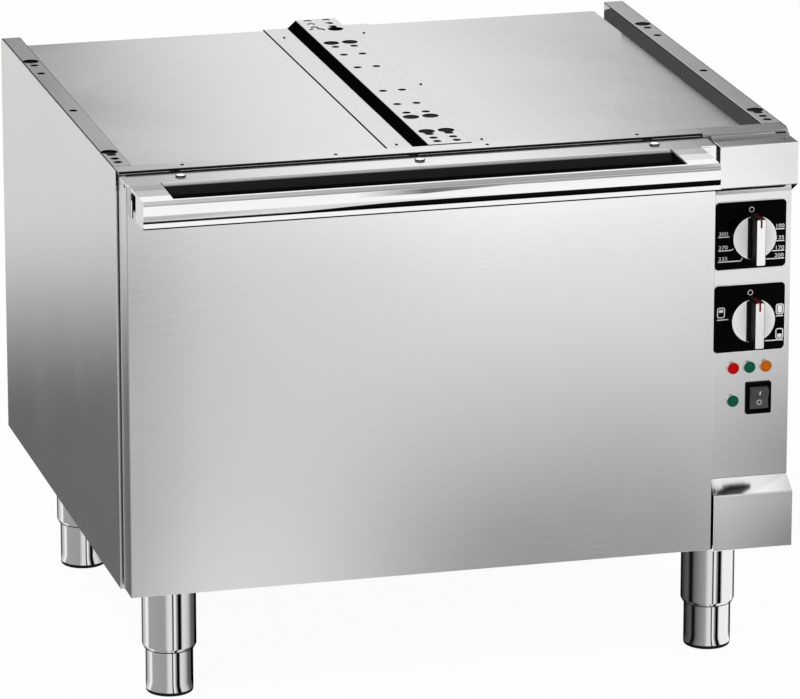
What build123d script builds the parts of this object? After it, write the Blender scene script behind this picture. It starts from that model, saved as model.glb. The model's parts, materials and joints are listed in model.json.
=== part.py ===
from build123d import *

import math
import os

# Modular convection oven base: a stainless casing on four adjustable legs, a
# drop-down door with a full-width folded handle, a column of controls on the right
# and top rails that carry two half-width cooking units.
# Frame: +X right, +Y to the back, +Z up. The origin is on the floor, under the
# middle of the overall box. All sizes are in millimetres.

# Overall sizes
overall_width = 800.0
side_depth = 665.0        # front edge to rear edge of a side panel
deck_overhang = 46.0      # deck's rear edge behind the side panels
body_height = 499.0       # base to rail tops
leg_height = 150.0        # floor to base
handle_reach = 124.0      # front edge of the side panels to the handle's hem

# Sheets and clearances
casing_sheet = 1.0
rail_sheet = 1.5
deck_sheet = 1.5
liner_sheet = 1.0
frame_sheet = 1.5
handle_sheet = 2.0
seam = 0.6                # open joint between a rail and the sheet beside it
clearance = 0.3           # between pieces that move past each other
running_clearance = 0.05  # radial, round a turning shaft
overshoot = 1.0           # how far a cut runs past the sheet that it cuts

# Side panels, base pan and back cover
front_return = 12.0
rear_return = 30.0
base_flange = 24.0
back_cover_rise = 20.0    # base to the back cover's lower edge
back_cover_inset = 1.0    # back cover's side behind the rail's inner web
deck_lip = 18.0
vent_length = 90.0
vent_width = 7.0
vent_pitch = 16.0
vent_rows = 4
vent_spread = 300.0       # between the two vent columns
vent_drop = 80.0          # deck to the middle of the vents

# Top rails and front strip
rail_width = 24.0
rail_height = 22.0        # rail tops above the deck
strip_overhang = 10.0
strip_back = 20.0
strip_lip = 3.0
strip_end_gap = 1.2       # strip's ends inside the side panels
hat_half_width = 25.6
hat_left_flange = 31.0
hat_right_flange = 55.0
hat_slope_run = 44.0      # length of the hat rail's sloping rear end
hole_inset = 11.75        # hole centres from the outer face or the centre plane
screw_hole_radius = 5.0
location_hole_radius = 9.8
keyhole_tail_radius = 5.5
keyhole_tail_offset = 12.5
rail_screw_holes = (517.0, 475.0, 286.0, 54.5, 38.0)
rail_location_holes = (538.0, 85.5)
centre_screw_holes = (408.0, 219.0, 176.5)
centre_location_holes = (155.5,)
centre_rear_screws = (6.0, 23.5, 41.5)  # forward of the side panels' rear edge
centre_rear_location = 55.5
keyhole_place = 85.5
strip_screw_pitch = 180.0
strip_screw_offset = 50.0  # middle of the strip's screw row, left of the centre plane
strip_screw_place = 8.5
strip_screw_radius = 3.2
strip_screw_rise = 0.8
rivet_radius = 2.4
rivet_rise = 1.2
left_rivets = (111.0,)
right_rivets = (386.0, 110.0)
rear_rivet_inset = 2.5    # rear rivets forward of the side panels' rear edge
rivet_flange_inset = 15.5  # rivets from the hat rail's web on the left
rivet_flange_reach = 36.0  # rivets from the hat rail's web on the right

# Door
door_side_gap = 3.0
door_bottom_gap = 3.0
door_top_gap = 11.0       # rail tops to the top of the door's skin
door_top_bar = 4.0        # folded bar on the inner panel under the handle's flange
door_top_bar_depth = 27.0
door_thickness = 39.0
door_standoff = 6.0       # door's rear face in front of the front frame
door_bend = 6.0
inner_panel_sheet = 1.2
door_pad_inset = 25.0     # pressed pad inside the oven mouth
door_pad_height = 3.0
gasket_width = 12.0
gasket_inset = 10.0       # gasket outside the oven mouth
gasket_gap = 0.4

# Handle
handle_left_inset = 2.7
handle_right_inset = 18.3
handle_flat = 46.0        # flat top flange, front to back
handle_fold_run = 23.0    # front to back of each of the two shallow folds before the nose
handle_fold_drop = 0.3    # first fold's front edge below the flange
handle_slope_drop = 0.9   # second fold's front edge below the flange
handle_nose_drop = 2.1    # nose's upper corner below the flange
handle_drop = 31.0        # flange down to the hem's lower edge
handle_nose_radius = 6.0
handle_rear_gap = 2.0     # door's rear face to the flange's rear edge
handle_hem_step = 1.5
handle_hem_height = 6.5
grip_end = 36.5           # closed bridge at each end of the grip slot
grip_front_wall = 9.7     # nose to the grip slot
grip_rear_gap = 1.5       # door's face to the grip slot
grip_corner = 2.0
grip_lip = 12.0           # radius of the lip rolled down behind the grip slot
handle_leg_depth = 13.0   # end plate's leg beside the door
handle_tab_depth = 41.5   # end plate's tab behind the hem
handle_tab_sheet = 2.5
handle_end_slope = 6.0    # end plate's lower edge, from the nose down to the door
handle_screw_pitch = 280.2
handle_screw_place = 18.0  # door's rear face forward to the screw row
handle_screw_head = 4.6
handle_screw_rise = 2.6
handle_screw_shank = 2.5
handle_screw_edge = 2.0

# Hinges
hinge_inset = 70.0
hinge_pin_radius = 5.0
hinge_pin_length = 30.0
hinge_axis_back = 22.0    # front frame to the hinge axis
hinge_axis_rise = 14.0    # base to the hinge axis
hinge_lug_half = 5.0
hinge_lug_radius = 8.0
hinge_side_gap = 0.8      # each side of a lug in the door
hinge_turn_gap = 1.0      # round a lug in the door
hinge_plate_width = 44.0
hinge_plate_sheet = 3.0
hinge_plate_height = 22.0
hinge_cheek = 5.0
hinge_arm_rise = 45.0
hinge_arm_depth = 30.0

# Control column
column_width = 97.2
column_gap = 3.8
column_front = 45.0       # front of the corner cover and the lower trim
panel_setback = 24.0      # control panel behind the column's front
corner_cover_height = 50.2
corner_cover_drop = 7.4   # top of the corner cover below the rail tops
corner_cover_inset = 1.7
cover_slope_drop = 13.8   # cover's underside, down to the control panel
cover_edge = 2.0
cover_notch = 17.5        # open slit at the end of the cover's riser under the strip
cover_notch_height = 1.8
trim_front_height = 68.2
trim_slope_rise = 14.5
panel_sheet = 1.2
panel_bend = 6.0
cover_sheet = 1.2
frame_lap = 6.0           # front frame behind the column's left edge

# Dials
dial_width = 85.0
dial_height = 81.0
dial_sheet = 1.2
dial_corner = 5.0
thermostat_drop = 50.1    # control panel's top to the thermostat's middle
selector_pitch = 100.5    # thermostat's middle to the selector's
dial_offset = 0.2         # dial centres left of the column's middle
knob_radius = 27.0
knob_skirt = 13.0
knob_grip_width = 11.5
knob_grip_length = 56.0
knob_grip_height = 24.0    # grip bar in front of the skirt
knob_gap = 0.4            # knob's back in front of its dial
knob_edge = 0.8
shaft_radius = 3.0
shaft_hole_radius = 4.0
shaft_depth = 20.0        # shaft inside the switch body
thermostat_size = 46.0
thermostat_depth = 36.0
selector_size = 52.0
selector_depth = 44.0
switch_corner = 4.0
shaft_end_gap = 1.0       # beyond a shaft's end in its bore

# Indicator lamps and rocker switch
lamp_row_pitch = 60.0     # selector's middle to the lamp row
lamp_pitch = 20.0
fan_lamp_pitch = 40.0     # lamp row to the fan's lamp
bezel_radius = 7.2
bezel_height = 6.4
lens_radius = 6.2
lens_rise = 7.2
lens_edge = 0.6
lamp_hole_gap = 0.2
lamp_body_depth = 18.0
rocker_pitch = 38.5       # lamp row to the rocker's middle
rocker_offset = 11.7      # rocker centre right of the column's middle
rocker_frame_width = 31.0
rocker_frame_height = 38.5
rocker_frame_proud = 3.0
rocker_frame_edge = 2.0
rocker_width = 22.0
rocker_radius = 14.0
rocker_tip_reach = 9.5    # pivot to a tip of the rocker, front to back
rocker_valley = 6.5       # pivot to the middle of the rocker's face
rocker_pivot_back = 2.0   # panel front to the rocker's pivot
rocker_tail = 3.0         # rocker's back behind its pivot
rocker_tilt = 8.0         # degrees each way
rocker_body_depth = 22.0
rocker_body_margin = 1.5
rocker_well_depth = 9.0   # open well behind the pivot

# Oven
cavity_wall_left = 71.0   # casing's left side to the oven
cavity_wall_right = 68.0  # oven to the door's right edge
cavity_rise = 85.0        # base to the oven floor
cavity_roof = 94.0        # oven ceiling to the rail tops
rear_space = 123.5        # oven's back to the side panels' rear edge
cavity_corner = 14.0
insulation_thick = 28.0
partition_sheet = 1.0
partition_gap = 13.0      # partition left of the door's right edge

# Rack guides, rack and floor plate
guide_sheet = 1.5
guide_ledge = 16.0
guide_front = 40.0        # oven mouth to the guides
guide_rear_gap = 60.0     # guides to the oven's back
guide_bottom = 60.0       # oven floor to the guides
guide_top_gap = 70.0      # guides to the oven ceiling
guide_first_gap = 15.0    # guides' lower edge to the first ledge
guide_last_gap = 10.0     # last ledge to the guides' upper edge
guide_levels = 4
rack_level = 1            # counted from 0
rack_wire = 3.0           # radius of the rack's frame
rack_rod = 2.0            # radius of its cross rods
rack_rods = 12
rack_side_gap = 8.0       # rack to the oven wall
rack_end_gap = 12.0       # rack's ends inside the guides' length
rack_corner = 20.0
floor_plate_rise = 29.0
floor_plate_gap = 2.0     # beyond the liner's rounded corner
floor_plate_front = 25.0
floor_plate_back_gap = 12.0

# Heating elements
element_radius = 4.0
element_hole_gap = 0.5
element_bend = 30.0
element_side_gap = 70.0   # oven wall to the element's outer runs
element_inner_span = 70.0
element_front_gap = 60.0  # oven mouth to the element's front bends
element_rear_gap = 110.0  # oven back wall to the element's middle bends
element_tail = 45.0       # behind the oven's back wall
element_collar = 2.0
element_collar_radius = 9.0
top_element_drop = 22.0
bottom_element_rise = 14.0

# Fan
fan_tip_gap = 15.0        # fan's rim inside the baffle
fan_disc = 1.5
fan_blade_height = 24.0
fan_blade_sheet = 1.5
fan_blades = 14
fan_blade_inner = 55.0
fan_rim = 3.0             # blade tips inside the rim
fan_ring_width = 17.0
fan_blade_lean = 24.0     # degrees that a blade's tip trails its root
fan_blade_bow = 7.0
fan_hub_radius = 15.0
fan_hub_length = 30.0
fan_back_gap = 12.0       # oven back wall to the fan's disc
fan_shaft_radius = 5.0
fan_shaft_seat = 40.0     # shaft inside the motor
shaft_wall_gap = 3.0      # round the shaft in the oven's back wall
baffle_side_gap = 55.0    # oven walls to the baffle
baffle_top_gap = 40.0     # oven floor and ceiling to the baffle
baffle_depth = 50.0
baffle_sheet = 1.2
baffle_slots = 12
baffle_slot_radius = 58.0
baffle_slot_length = 62.0
baffle_slot_width = 11.0
baffle_window_depth = 30.0
baffle_window_gap = 15.0
baffle_window_margin = 15.0
baffle_windows = 3
motor_neck_radius = 26.0
motor_neck_gap = 2.0
motor_flange = 110.0
motor_flange_sheet = 4.0
motor_flange_corner = 10.0
motor_radius = 45.0
motor_length = 62.0
motor_cap_radius = 30.0
motor_cap_length = 8.0

# Temperature probe
bulb_radius = 3.0
bulb_length = 110.0
bulb_wall_gap = 6.0
bulb_drop = 42.0          # oven ceiling to the probe
bulb_front = 300.0        # oven mouth to the probe's front end
clip_inset = 22.0         # clips from the bulb's ends
clip_width = 8.0
clip_sheet = 2.0
capillary_radius = 1.2
capillary_hole_gap = 0.6
capillary_run = 24.0
capillary_bend = 5.0
capillary_column_offset = 14.0  # left of the thermostat's middle
capillary_rise = 20.0           # above the thermostat, before it turns down

# Supply
terminal_length = 90.0
terminal_width = 26.0
terminal_height = 40.0
terminal_poles = 5
terminal_slot = 9.0
terminal_slot_depth = 10.0
terminal_rear_inset = 145.0  # forward of the side panels' rear edge
terminal_rise = 120.0     # base to the terminal block
gland_radius = 11.0
gland_bore = 6.5
gland_collar = 15.0
gland_collar_length = 6.0
gland_length = 16.0
gland_nut_length = 7.0
gland_rear_inset = 30.0   # forward of the side panels' rear edge
gland_side = 60.0         # right side panel to the gland

# Legs
leg_side_inset = 70.0
leg_front_inset = 60.0
leg_rear_inset = 115.0
leg_plate = 96.0
leg_plate_sheet = 3.0
leg_plate_corner = 8.0
leg_radius = 32.0
leg_tube_length = 96.0
leg_neck_height = 6.0
leg_neck_radius = 29.6
leg_guide_height = 12.0
leg_wall = 2.0
foot_radius = 28.0
foot_clearance = 0.3
foot_wall = 3.0
foot_floor = 8.0
foot_inside = 62.0        # foot inside the leg at its shortest
foot_pad_radius = 26.5
foot_pad_height = 4.5

# Planes that the pieces share
half_width = overall_width / 2
front_y = (handle_reach - side_depth - deck_overhang) / 2
side_rear_y = front_y + side_depth
deck_rear_y = side_rear_y + deck_overhang
base_z = leg_height
top_z = base_z + body_height
deck_z = top_z - rail_height
deck_under_z = deck_z - deck_sheet
inner_x = half_width - casing_sheet
rail_inner_x = half_width - rail_width

door_left_x = door_side_gap - half_width
column_left_x = half_width - column_width
door_right_x = column_left_x - column_gap
door_bottom_z = base_z + door_bottom_gap
door_top_z = top_z - door_top_gap
door_rear_y = front_y - door_standoff
door_front_y = door_rear_y - door_thickness
inner_panel_y = door_rear_y - inner_panel_sheet
door_middle_x = (door_left_x + door_right_x) / 2
door_bar_z = door_top_z + door_top_bar

column_front_y = front_y - column_front
panel_y = column_front_y + panel_setback
column_x = (column_left_x + half_width) / 2
dial_x = column_x - dial_offset
dial_y = panel_y - dial_sheet
knob_y = dial_y - knob_gap
corner_cover_top_z = top_z - corner_cover_drop
corner_cover_bottom_z = corner_cover_top_z - corner_cover_height
cover_riser_y = front_y - strip_overhang
cover_riser_z = top_z - strip_lip - clearance
panel_top_z = corner_cover_bottom_z - cover_slope_drop
trim_top_z = base_z + trim_front_height + trim_slope_rise

thermostat_z = panel_top_z - thermostat_drop
selector_z = thermostat_z - selector_pitch
switch_y = panel_y + panel_sheet
thermostat_y = switch_y + thermostat_depth / 2
thermostat_top_z = thermostat_z + thermostat_size / 2
lamp_z = selector_z - lamp_row_pitch
red_lamp = (column_x - lamp_pitch, lamp_z)
green_lamp = (column_x, lamp_z)
orange_lamp = (column_x + lamp_pitch, lamp_z)
fan_lamp = (column_x - lamp_pitch, lamp_z - fan_lamp_pitch)
lamp_places = (red_lamp, green_lamp, orange_lamp, fan_lamp)
rocker_x = column_x + rocker_offset
rocker_z = lamp_z - rocker_pitch
rocker_well_width = rocker_width + 2 * clearance
rocker_well_height = 2 * (rocker_radius + clearance)
rocker_body_width = rocker_well_width + 2 * rocker_body_margin
rocker_body_height = rocker_well_height + 2 * rocker_body_margin

cavity_left_x = cavity_wall_left - half_width
cavity_right_x = door_right_x - cavity_wall_right
cavity_front_y = front_y + frame_sheet
cavity_back_y = side_rear_y - rear_space
cavity_floor_z = base_z + cavity_rise
cavity_top_z = top_z - cavity_roof
cavity_width = cavity_right_x - cavity_left_x
cavity_height = cavity_top_z - cavity_floor_z
cavity_x = (cavity_left_x + cavity_right_x) / 2
cavity_z = (cavity_floor_z + cavity_top_z) / 2
partition_x = door_right_x - partition_gap
liner_rear_y = cavity_back_y + liner_sheet
insulation_rear_y = liner_rear_y + insulation_thick
insulation_left_x = cavity_left_x - liner_sheet - insulation_thick
insulation_right_x = cavity_right_x + liner_sheet + insulation_thick
insulation_low_z = cavity_floor_z - liner_sheet - insulation_thick
insulation_high_z = cavity_top_z + liner_sheet + insulation_thick
baffle_front_y = cavity_back_y - baffle_depth
baffle_half_width = cavity_width / 2 - baffle_side_gap
baffle_half_height = cavity_height / 2 - baffle_top_gap
baffle_window_run = 2 * (baffle_half_height - baffle_window_margin) + baffle_window_gap
baffle_window_pitch = baffle_window_run / baffle_windows
baffle_window_height = baffle_window_pitch - baffle_window_gap
fan_radius = baffle_half_height - fan_tip_gap
fan_blade_outer = fan_radius - fan_rim
guide_front_y = cavity_front_y + guide_front
guide_rear_y = cavity_back_y - guide_rear_gap
guide_low_z = cavity_floor_z + guide_bottom
guide_high_z = cavity_top_z - guide_top_gap
guide_first_z = guide_low_z + guide_first_gap
guide_pitch = (guide_high_z - guide_last_gap - guide_first_z) / (guide_levels - 1)
element_half_span = cavity_width / 2 - element_side_gap
element_levels = (cavity_top_z - top_element_drop, cavity_floor_z + bottom_element_rise)
element_entries = [
    (cavity_x + side * element_half_span, level) for level in element_levels for side in (-1, 1)
]
bulb_x = cavity_right_x - bulb_wall_gap
bulb_z = cavity_top_z - bulb_drop
bulb_rear_y = cavity_front_y + bulb_front + bulb_length
capillary_y = bulb_rear_y + capillary_run

hinge_axis_y = front_y - hinge_axis_back
hinge_axis_z = base_z + hinge_axis_rise
hinge_places = (door_left_x + hinge_inset, door_right_x - hinge_inset)
hinge_slot_half = hinge_lug_half + hinge_side_gap
hinge_slot_top_z = hinge_axis_z + hinge_lug_radius + hinge_turn_gap
hinge_slot_front_y = hinge_axis_y - hinge_lug_radius - hinge_turn_gap
hinge_arm_top_z = hinge_axis_z + hinge_arm_rise

gland_x = half_width - gland_side
gland_y = side_rear_y - gland_rear_inset


def block(low, high, mode=Mode.ADD):
    """A plain block between two opposite corners, in any order of corners."""
    size = [abs(b - a) for a, b in zip(low, high)]
    middle = tuple((a + b) / 2 for a, b in zip(low, high))
    with Locations(middle):
        Box(*size, mode=mode)


def save(piece, name):
    """Label a finished piece and write it as its own file."""
    piece.part.label = name
    export_step(piece.part, f"parts/{name}.step")


def cross_plane(y):
    """A plane across the depth at y, with X to its right and Z up, facing the front."""
    return Plane.XZ.offset(-y)


os.makedirs("parts", exist_ok=True)


# Side panels
def make_side_panel(side, name):
    """A bent side sheet with a front and a rear return, cut down under the deck."""
    outer_x = side * half_width
    with BuildPart() as panel:
        with BuildSketch(Plane.XY.offset(base_z)):
            with BuildLine():
                Polyline(
                    (outer_x - side * front_return, front_y),
                    (outer_x, front_y),
                    (outer_x, side_rear_y),
                    (outer_x - side * rear_return, side_rear_y),
                )
                offset(amount=casing_sheet, side=Side.LEFT if side > 0 else Side.RIGHT)
            make_face()
        extrude(amount=body_height)
        block(
            (side * inner_x, front_y - overshoot, deck_under_z),
            (outer_x - side * (rear_return + overshoot), side_rear_y + overshoot, top_z + overshoot),
            mode=Mode.SUBTRACT,
        )
    save(panel, name)


make_side_panel(-1, "side_panel_left")
make_side_panel(1, "side_panel_right")

# Base pan
with BuildPart() as base_pan:
    block(
        (-inner_x, front_y + casing_sheet, base_z),
        (inner_x, side_rear_y - casing_sheet, base_z + base_flange),
    )
    offset(amount=-casing_sheet, openings=base_pan.faces().sort_by(Axis.Z)[-1])
    with Locations((gland_x, gland_y, base_z + casing_sheet)):
        Hole(gland_radius + clearance, depth=casing_sheet * 2)
save(base_pan, "base_pan")

# Top deck, wide between the side panels and narrower behind them
with BuildPart() as top_deck:
    block(
        (-inner_x, front_y + frame_sheet, deck_under_z),
        (inner_x, side_rear_y, deck_z),
    )
    with BuildSketch(Plane.YZ.offset(-rail_inner_x)):
        with BuildLine():
            Polyline(
                (side_rear_y - overshoot, deck_z),
                (deck_rear_y, deck_z),
                (deck_rear_y, deck_z - deck_lip),
            )
            offset(amount=deck_sheet, side=Side.RIGHT)
        make_face()
    extrude(amount=2 * rail_inner_x)
save(top_deck, "top_deck")

# Back cover, a shallow pan behind the side panels with two columns of vents
back_cover_half = rail_inner_x - back_cover_inset
back_cover_rear_y = deck_rear_y - deck_sheet - clearance
with BuildPart() as back_cover:
    block(
        (-back_cover_half, side_rear_y, base_z + back_cover_rise),
        (back_cover_half, back_cover_rear_y, deck_under_z),
    )
    offset(amount=-casing_sheet, openings=back_cover.faces().sort_by(Axis.Y)[0])
    with BuildSketch(cross_plane(back_cover_rear_y)):
        with Locations((0, deck_z - vent_drop)):
            with GridLocations(vent_spread, vent_pitch, 2, vent_rows):
                SlotOverall(vent_length, vent_width)
    extrude(amount=2 * casing_sheet, both=True, mode=Mode.SUBTRACT)
save(back_cover, "back_cover")

# Front top strip, a folded cap that overhangs the door's top
with BuildPart() as front_top_strip:
    with BuildSketch(Plane.YZ.offset(strip_end_gap - inner_x)):
        with BuildLine():
            Polyline(
                (front_y + strip_back, deck_z),
                (front_y + strip_back, top_z),
                (front_y - strip_overhang, top_z),
                (front_y - strip_overhang, top_z - strip_lip),
            )
            offset(amount=rail_sheet, side=Side.LEFT)
        make_face()
    extrude(amount=2 * (inner_x - strip_end_gap))
save(front_top_strip, "front_top_strip")


def cut_rail_holes(x, screw_holes, location_holes):
    """Cut one column of screw holes, location holes and the keyhole in a rail's top."""
    with Locations(*[(x, front_y + place, top_z) for place in screw_holes]):
        Hole(screw_hole_radius, depth=2 * rail_sheet)
    with Locations(*[(x, front_y + place, top_z) for place in location_holes]):
        Hole(location_hole_radius, depth=2 * rail_sheet)
    with Locations((x, front_y + keyhole_place - keyhole_tail_offset, top_z)):
        Hole(keyhole_tail_radius, depth=2 * rail_sheet)


# Top rails
rail_front_y = front_y + strip_back + seam


def make_side_rail(side, name):
    """An angle that stands on the deck beside a side panel."""
    with BuildPart() as rail:
        with BuildSketch(cross_plane(side_rear_y)):
            with BuildLine():
                Polyline(
                    (side * (inner_x - seam), top_z),
                    (side * rail_inner_x, top_z),
                    (side * rail_inner_x, deck_z),
                )
                offset(amount=rail_sheet, side=Side.LEFT if side > 0 else Side.RIGHT)
            make_face()
        extrude(amount=side_rear_y - rail_front_y)
        cut_rail_holes(side * (half_width - hole_inset), rail_screw_holes, rail_location_holes)
    save(rail, name)


make_side_rail(-1, "top_rail_left")
make_side_rail(1, "top_rail_right")

flange_z = deck_z + rail_sheet
rear_screws = tuple(side_depth - inset for inset in centre_rear_screws)
rear_location = (side_depth - centre_rear_location,)
with BuildPart() as centre_rail:
    with BuildSketch(cross_plane(deck_rear_y)):
        with BuildLine():
            Polyline(
                (-hat_half_width - hat_left_flange, flange_z),
                (-hat_half_width, flange_z),
                (-hat_half_width, top_z),
                (hat_half_width, top_z),
                (hat_half_width, flange_z),
                (hat_half_width + hat_right_flange, flange_z),
            )
            offset(amount=rail_sheet, side=Side.RIGHT)
        make_face()
    extrude(amount=deck_rear_y - rail_front_y)
    with BuildSketch(Plane.YZ.offset(-hat_half_width)):
        with BuildLine():
            Polyline(
                (deck_rear_y, flange_z),
                (deck_rear_y, top_z),
                (deck_rear_y - hat_slope_run, top_z),
                close=True,
            )
        make_face()
    extrude(amount=2 * hat_half_width, mode=Mode.SUBTRACT)
    for column in (-1, 1):
        cut_rail_holes(
            column * hole_inset,
            rail_screw_holes + centre_screw_holes + rear_screws,
            rail_location_holes + centre_location_holes + rear_location,
        )
save(centre_rail, "centre_rail")

# Strip screws and deck rivets, low domed heads
head_base = (Align.CENTER, Align.CENTER, Align.MIN)
with BuildPart() as strip_screws:
    with Locations((-strip_screw_offset, front_y + strip_screw_place, top_z)):
        with GridLocations(strip_screw_pitch, 0, 4, 1):
            Cone(strip_screw_radius, strip_screw_radius / 2, strip_screw_rise, align=head_base)
save(strip_screws, "strip_screws")

left_rivet_x = -hat_half_width - rivet_flange_inset
right_rivet_x = hat_half_width + rivet_flange_reach
rear_rivet = (side_depth - rear_rivet_inset,)
flange_rivets = [(left_rivet_x, front_y + place, flange_z) for place in left_rivets + rear_rivet]
flange_rivets += [(right_rivet_x, front_y + place, flange_z) for place in right_rivets + rear_rivet]
with BuildPart() as deck_rivets:
    with Locations(*flange_rivets):
        Cone(rivet_radius, rivet_radius / 2, rivet_rise, align=head_base)
save(deck_rivets, "deck_rivets")

# Front frame round the oven mouth, closing the body behind the door
frame_left_x = front_return - half_width
frame_right_x = column_left_x + frame_lap
frame_low_z = base_z + base_flange
frame_high_z = top_z - rail_sheet
with BuildPart() as front_frame:
    with BuildSketch(cross_plane(cavity_front_y)):
        with Locations(((frame_left_x + frame_right_x) / 2, (frame_low_z + frame_high_z) / 2)):
            Rectangle(frame_right_x - frame_left_x, frame_high_z - frame_low_z)
        with Locations((cavity_x, cavity_z)):
            RectangleRounded(cavity_width, cavity_height, cavity_corner, mode=Mode.SUBTRACT)
    extrude(amount=frame_sheet)
save(front_frame, "front_frame")


def cut_capillary_hole(x):
    """Cut the probe's capillary hole across a wall at x."""
    with Locations((x, capillary_y, bulb_z)):
        Cylinder(
            capillary_radius + capillary_hole_gap,
            4 * insulation_thick,
            rotation=(0, 90, 0),
            mode=Mode.SUBTRACT,
        )


# Partition between the oven and the controls
with BuildPart() as control_partition:
    block(
        (partition_x, front_y + 2 * casing_sheet, base_z + casing_sheet),
        (partition_x + partition_sheet, side_rear_y - 2 * casing_sheet, deck_under_z),
    )
    cut_capillary_hole(partition_x)
save(control_partition, "control_partition")

# Oven liner, a drawn box open to the front
with BuildPart() as cavity_liner:
    block(
        (cavity_left_x - liner_sheet, cavity_front_y, cavity_floor_z - liner_sheet),
        (cavity_right_x + liner_sheet, liner_rear_y, cavity_top_z + liner_sheet),
    )
    fillet(cavity_liner.edges().filter_by(Axis.Y), radius=cavity_corner + liner_sheet)
    offset(amount=-liner_sheet, openings=cavity_liner.faces().sort_by(Axis.Y)[0])
    with BuildSketch(cross_plane(liner_rear_y)):
        with Locations((cavity_x, cavity_z)):
            Circle(fan_shaft_radius + shaft_wall_gap)
        with Locations(*element_entries):
            Circle(element_radius + element_hole_gap)
    extrude(amount=2 * liner_sheet, both=True, mode=Mode.SUBTRACT)
    cut_capillary_hole(cavity_right_x)
save(cavity_liner, "cavity_liner")

# Insulation on five sides of the liner
with BuildPart() as cavity_insulation:
    block(
        (insulation_left_x, cavity_front_y, insulation_low_z),
        (insulation_right_x, insulation_rear_y, insulation_high_z),
    )
    with BuildSketch(cross_plane(liner_rear_y)):
        with Locations((cavity_x, cavity_z)):
            RectangleRounded(
                cavity_width + 2 * liner_sheet,
                cavity_height + 2 * liner_sheet,
                cavity_corner + liner_sheet,
            )
    extrude(amount=liner_rear_y - cavity_front_y, mode=Mode.SUBTRACT)
    with BuildSketch(cross_plane(insulation_rear_y)):
        with Locations((cavity_x, cavity_z)):
            Circle(motor_neck_radius + motor_neck_gap)
        with Locations(*element_entries):
            Circle(element_collar_radius + element_hole_gap)
    extrude(amount=insulation_thick, mode=Mode.SUBTRACT)
    cut_capillary_hole(insulation_right_x)
save(cavity_insulation, "cavity_insulation")


# Rack guides
def make_rack_guide(side, name):
    """A wall plate with a row of ledges that carry the rack."""
    wall_x = cavity_x + side * cavity_width / 2
    with BuildPart() as guide:
        block(
            (wall_x, guide_front_y, guide_low_z),
            (wall_x - side * guide_sheet, guide_rear_y, guide_high_z),
        )
        for level in range(guide_levels):
            ledge_z = guide_first_z + level * guide_pitch
            block(
                (wall_x, guide_front_y, ledge_z - guide_sheet),
                (wall_x - side * guide_ledge, guide_rear_y, ledge_z),
            )
    save(guide, name)


make_rack_guide(-1, "rack_guide_left")
make_rack_guide(1, "rack_guide_right")

# Wire rack on one pair of ledges
rack_z = guide_first_z + rack_level * guide_pitch + rack_wire
rack_half = cavity_width / 2 - rack_side_gap - rack_wire
rack_front_y = guide_front_y + rack_end_gap
rack_rear_y = guide_rear_y - rack_end_gap
with BuildPart() as oven_rack:
    with BuildLine(Plane.XY.offset(rack_z)) as rack_loop:
        FilletPolyline(
            (cavity_x - rack_half, rack_front_y),
            (cavity_x + rack_half, rack_front_y),
            (cavity_x + rack_half, rack_rear_y),
            (cavity_x - rack_half, rack_rear_y),
            radius=rack_corner,
            close=True,
        )
    with BuildSketch(Plane(origin=rack_loop.line @ 0, z_dir=rack_loop.line % 0)):
        Circle(rack_wire)
    sweep(path=rack_loop.line)
    with BuildSketch(cross_plane(rack_rear_y)):
        with Locations((cavity_x, rack_z)):
            with GridLocations(2 * rack_half / (rack_rods + 1), 0, rack_rods, 1):
                Circle(rack_rod)
    extrude(amount=rack_rear_y - rack_front_y)
save(oven_rack, "oven_rack")

# Floor plate over the lower element, standing on its two side flanges
floor_plate_left_x = cavity_left_x + cavity_corner + floor_plate_gap
floor_plate_right_x = cavity_right_x - cavity_corner - floor_plate_gap
floor_plate_rear_y = baffle_front_y - floor_plate_back_gap
floor_plate_z = cavity_floor_z + floor_plate_rise
with BuildPart() as floor_plate:
    with BuildSketch(cross_plane(floor_plate_rear_y)):
        with BuildLine():
            Polyline(
                (floor_plate_left_x, cavity_floor_z),
                (floor_plate_left_x, floor_plate_z),
                (floor_plate_right_x, floor_plate_z),
                (floor_plate_right_x, cavity_floor_z),
            )
            offset(amount=guide_sheet, side=Side.RIGHT)
        make_face()
    extrude(amount=floor_plate_rear_y - cavity_front_y - floor_plate_front)
save(floor_plate, "floor_plate")


# Heating elements
def make_element(level, name):
    """A tube bent into three loops, with a collar on each end behind the oven."""
    loop_front_y = cavity_front_y + element_front_gap
    loop_rear_y = cavity_back_y - element_rear_gap
    tail_y = cavity_back_y + element_tail
    with BuildPart() as element:
        with BuildLine(Plane.XY.offset(level)) as element_path:
            FilletPolyline(
                (cavity_x - element_half_span, tail_y),
                (cavity_x - element_half_span, loop_front_y),
                (cavity_x - element_inner_span, loop_front_y),
                (cavity_x - element_inner_span, loop_rear_y),
                (cavity_x + element_inner_span, loop_rear_y),
                (cavity_x + element_inner_span, loop_front_y),
                (cavity_x + element_half_span, loop_front_y),
                (cavity_x + element_half_span, tail_y),
                radius=element_bend,
            )
        with BuildSketch(cross_plane(tail_y)):
            with Locations((cavity_x - element_half_span, level)):
                Circle(element_radius)
        sweep(path=element_path.line)
        with BuildSketch(cross_plane(liner_rear_y)):
            with Locations((cavity_x, level)):
                with GridLocations(2 * element_half_span, 0, 2, 1):
                    Circle(element_collar_radius)
        extrude(amount=-element_collar)
    save(element, name)


make_element(element_levels[0], "top_element")
make_element(element_levels[1], "bottom_element")

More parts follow.
